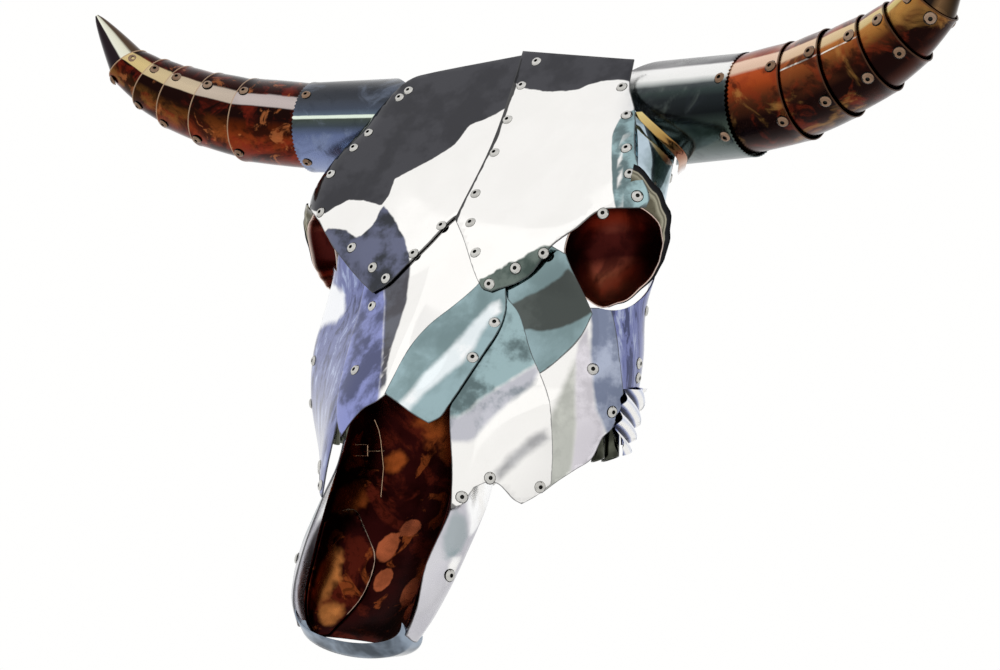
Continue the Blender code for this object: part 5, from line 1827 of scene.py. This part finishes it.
class SKULL_OT_back(bpy.types.Operator):
    """Finish the crown plate, the back plate and the wall hanger."""

    bl_idname = "skull.back"
    bl_label = "Back and crown"

    def execute(self, context):
        hues = settings()
        black = polished_steel("Blackened steel", (0.045, 0.046, 0.050), (0.12, 0.11, 0.10),
                               roughness=0.42, mottle=0.8, rimmed=False)
        crown = polished_steel("Mirror steel, crown", shade(hues.slate_reflection_colour, 2.0),
                               tuple(hues.mirror_colour), mottle=0.6, rimmed=False)
        for name, material in (("back_plate", black), ("wall_hanger", black),
                               ("crown_plate", crown)):
            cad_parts[name].data.materials.clear()
            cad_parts[name].data.materials.append(material)
        return {"FINISHED"}


# Rivets

class SKULL_OT_rivets(bpy.types.Operator):
    """Set the pop rivets on the plates and the horns."""

    bl_idname = "skull.rivets"
    bl_label = "Rivets"

    # A rivet from its foot over its head down into its opening: share of its radius and of its
    # height; the two foot rings take the pin's dark metal as a painted contact shadow
    profile = ((1.14, -0.10), (1.0, 0.06), (0.95, 0.34), (0.78, 0.78), (0.56, 1.0),
               (0.38, 0.86), (0.33, 0.25))
    band_angles = {1: (64, 132, 232, 318), -1: (50, 146, 232, 318)}
    # How far behind a band's edge its rivets stand, and how deep they are sunk
    lap_shift = -0.0065
    sunk = 0.0006

    def execute(self, context):
        steel = self.metal("Rivet steel", (0.52, 0.51, 0.48), (0.80, 0.79, 0.76))
        bronze = self.metal("Rivet bronze", (0.20, 0.12, 0.075), (0.46, 0.34, 0.25))
        # Dark metal of the pin, also laid on each rivet's foot ring as a painted contact shadow
        self.pin_and_foot_shadow = self.metal("Rivet pin and foot shadow", (0.012, 0.012, 0.011), (0.03, 0.03, 0.025), 0.3)
        for name, places in RIVETS.items():
            side, path_at = side_and_path(name)
            lift = layer_lift(PLATE_LAYERS[name]) + SHEET
            spots = [on_form(path_at, h, r, lift, side) for h, r in places]
            self.rivet_row("rivets_" + name, spots, steel)
        for side, hand in SIDE_NAMES.items():
            self.rivet_row("rivets_horn_" + hand, self.horn_spots(side), bronze)
        return {"FINISHED"}

    def metal(self, name, base, cloud_tint, roughness=0.16):
        """A metal of the rivets."""
        return polished_steel(name, base, cloud_tint, roughness=roughness, dent=0.0,
                              rimmed=False)

    def horn_spots(self, side):
        """Places and normals of the rivets round the horn's laps."""
        for index in range(1, len(HORN_LINE) - 1):
            aim = band_edge_aim(index, side)
            sheet, shift = (SHEET, 0.0) if index == 1 else (COPPER_SHEET, self.lap_shift)
            centre = horn_point(index, side) + aim * shift
            up = (Vector((0, 0, 1)) - aim * aim.z).normalized()
            forward = frontward(aim.cross(up))
            radius = HORN_RADII[index] + sheet - self.sunk
            for degrees in self.band_angles[side]:
                turn = math.radians(degrees)
                radial = up * math.cos(turn) + forward * math.sin(turn)
                place = centre + radial * radius
                yield (Vector((side * place.x, place.y, place.z)) + POLL,
                       Vector((side * radial.x, radial.y, radial.z)))

    def rivet_row(self, name, spots, metal):
        """Rivets at places with their normals, in one mesh."""
        shape = bmesh.new()
        radius = settings().rivet_diameter / 2
        height = settings().rivet_height
        for place, normal in spots:
            matrix = looking(place, normal)
            start_faces = set(shape.faces)
            rings = [bmesh.ops.create_circle(
                shape, cap_ends=False, radius=radius * share, segments=settings().rivet_sides,
                matrix=matrix @ Matrix.Translation((0, 0, height * rise)))["verts"]
                for share, rise in self.profile]
            bridge_rings(shape, rings)
            shape.faces.new(rings[-1])
            # The last rings and the cap are the pin; the first two rings, the foot, are a painted
            # contact shadow
            dark_rings = (set(rings[-1]) | set(rings[-2]), set(rings[0]) | set(rings[1]))
            fresh = [face for face in shape.faces if face not in start_faces]
            turn_faces(shape, lambda face: face.normal.dot(normal), fresh)
            for face in fresh:
                if any(all(vert in dark for vert in face.verts) for dark in dark_rings):
                    face.material_index = 1
        finish_piece(name, shape, [metal, self.pin_and_foot_shadow], None, 60)


# Stage

class SKULL_OT_stage(bpy.types.Operator):
    """Set the floor, the soft lights and the camera."""

    bl_idname = "skull.stage"
    bl_label = "Stage"

    camera_place = (0.8186, -1.4125, -0.1546)
    camera_right = (0.84785, 0.52992, 0.01848)
    camera_up = (-0.02179, 0.0, 0.99976)
    camera_back = (0.52979, -0.84805, 0.01155)
    sensor = 36.0
    lens = 64.72
    floor_height = -0.90
    floor_radius = 1.6
    # Lights: name, place, size, power, what it aims at
    lights = (("Key", (-1.6, -2.2, 2.0), 2.2, 1.6, (0, -0.1, -0.1)),
              ("Fill", (2.4, -1.4, 1.2), 1.6, 0.8, (0.05, -0.15, -0.1)))
    # The studio's brightness from below (0) to overhead (1)
    studio = ((0.0, (0.60, 0.60, 0.61)), (0.36, (0.84, 0.84, 0.84)), (0.50, (0.99, 0.99, 0.985)),
              (0.92, (1.0, 1.0, 1.0)), (1.0, (0.82, 0.83, 0.85)))

    def linked(self, scene, name, data):
        """An object in the scene."""
        made = bpy.data.objects.new(name, data)
        scene.collection.objects.link(made)
        return made

    def execute(self, context):
        scene = context.scene
        shape = bmesh.new()
        bmesh.ops.create_circle(shape, cap_ends=True, radius=self.floor_radius, segments=96,
                                matrix=Matrix.Translation((0, -0.1, self.floor_height)))
        mesh = bpy.data.meshes.new("floor")
        shape.to_mesh(mesh)
        shape.free()
        floor = self.linked(scene, "floor", mesh)
        paint = bpy.data.materials.new("Pale floor")
        paint.use_nodes = True
        shader = paint.node_tree.nodes["Principled BSDF"]
        shader.inputs["Base Color"].default_value = (0.97, 0.97, 0.965, 1.0)
        shader.inputs["Roughness"].default_value = 0.8
        mesh.materials.append(paint)
        self.world(scene)
        for name, place, size, power, target in self.lights:
            light = bpy.data.lights.new(name, "AREA")
            light.size = size
            light.energy = power
            aim = Vector(target) - Vector(place)
            self.linked(scene, name, light).matrix_world = looking(place, aim, "-Z")
        camera = bpy.data.cameras.new("Camera")
        camera.sensor_width = self.sensor
        camera.lens = self.lens
        view = self.linked(scene, "Camera", camera)
        turn = Matrix((self.camera_right, self.camera_up, self.camera_back)).transposed()
        view.matrix_world = Matrix.Translation(self.camera_place) @ turn.to_4x4()
        scene.camera = view
        scene.view_settings.view_transform = "Standard"
        return {"FINISHED"}

    def world(self, scene):
        """A white studio round the object, greyer overhead and below."""
        world = bpy.data.worlds.new("Studio")
        scene.world = world
        world.use_nodes = True
        tree = world.node_tree
        tree.nodes.clear()
        place = tree.nodes.new("ShaderNodeTexCoord").outputs["Generated"]
        split = new_node(tree, "ShaderNodeSeparateXYZ", ((0, place),))
        height = range_node(tree, split.outputs["Z"], -1.0, 1.0, smooth=False)
        around = new_node(tree, "ShaderNodeBackground", (
            ("Color", ramp(tree, height, self.studio)),))
        seen = new_node(tree, "ShaderNodeBackground", (("Color", (1.0, 0.998, 0.992)),))
        camera_ray = tree.nodes.new("ShaderNodeLightPath").outputs["Is Camera Ray"]
        mix = new_node(tree, "ShaderNodeMixShader", (
            (0, camera_ray), (1, around.outputs[0]), (2, seen.outputs[0])))
        new_node(tree, "ShaderNodeOutputWorld", (("Surface", mix.outputs[0]),))


class SKULL_PT_panel(bpy.types.Panel):
    """The pieces of the skull, in the 3D view's sidebar."""

    bl_label = "Steer skull"
    bl_idname = "SKULL_PT_panel"
    bl_space_type = "VIEW_3D"
    bl_region_type = "UI"
    bl_category = "Steer skull"

    def draw(self, context):
        for name in context.scene.skull_settings.bl_rna.properties.keys():
            if name not in ("rna_type", "name"):
                self.layout.prop(context.scene.skull_settings, name)
        for maker in OPERATORS:
            self.layout.operator(maker.bl_idname)


OPERATORS = (
    SKULL_OT_face_plates, SKULL_OT_muzzle, SKULL_OT_nose_lining, SKULL_OT_eye_sockets,
    SKULL_OT_horns, SKULL_OT_temple_strips, SKULL_OT_molars, SKULL_OT_back, SKULL_OT_rivets,
    SKULL_OT_stage,
)
CLASSES = (SkullSettings,) + OPERATORS + (SKULL_PT_panel,)


def register():
    """Add the classes and the scene's settings."""
    for item in CLASSES:
        bpy.utils.register_class(item)
    bpy.types.Scene.skull_settings = PointerProperty(type=SkullSettings)


def unregister():
    """Take the classes and the settings out again."""
    del bpy.types.Scene.skull_settings
    for item in reversed(CLASSES):
        bpy.utils.unregister_class(item)


def main():
    """Make every piece in order."""
    register()
    for maker in OPERATORS:
        group, action = maker.bl_idname.split(".")
        getattr(getattr(bpy.ops, group), action)()


if __name__ == "__main__":
    main()
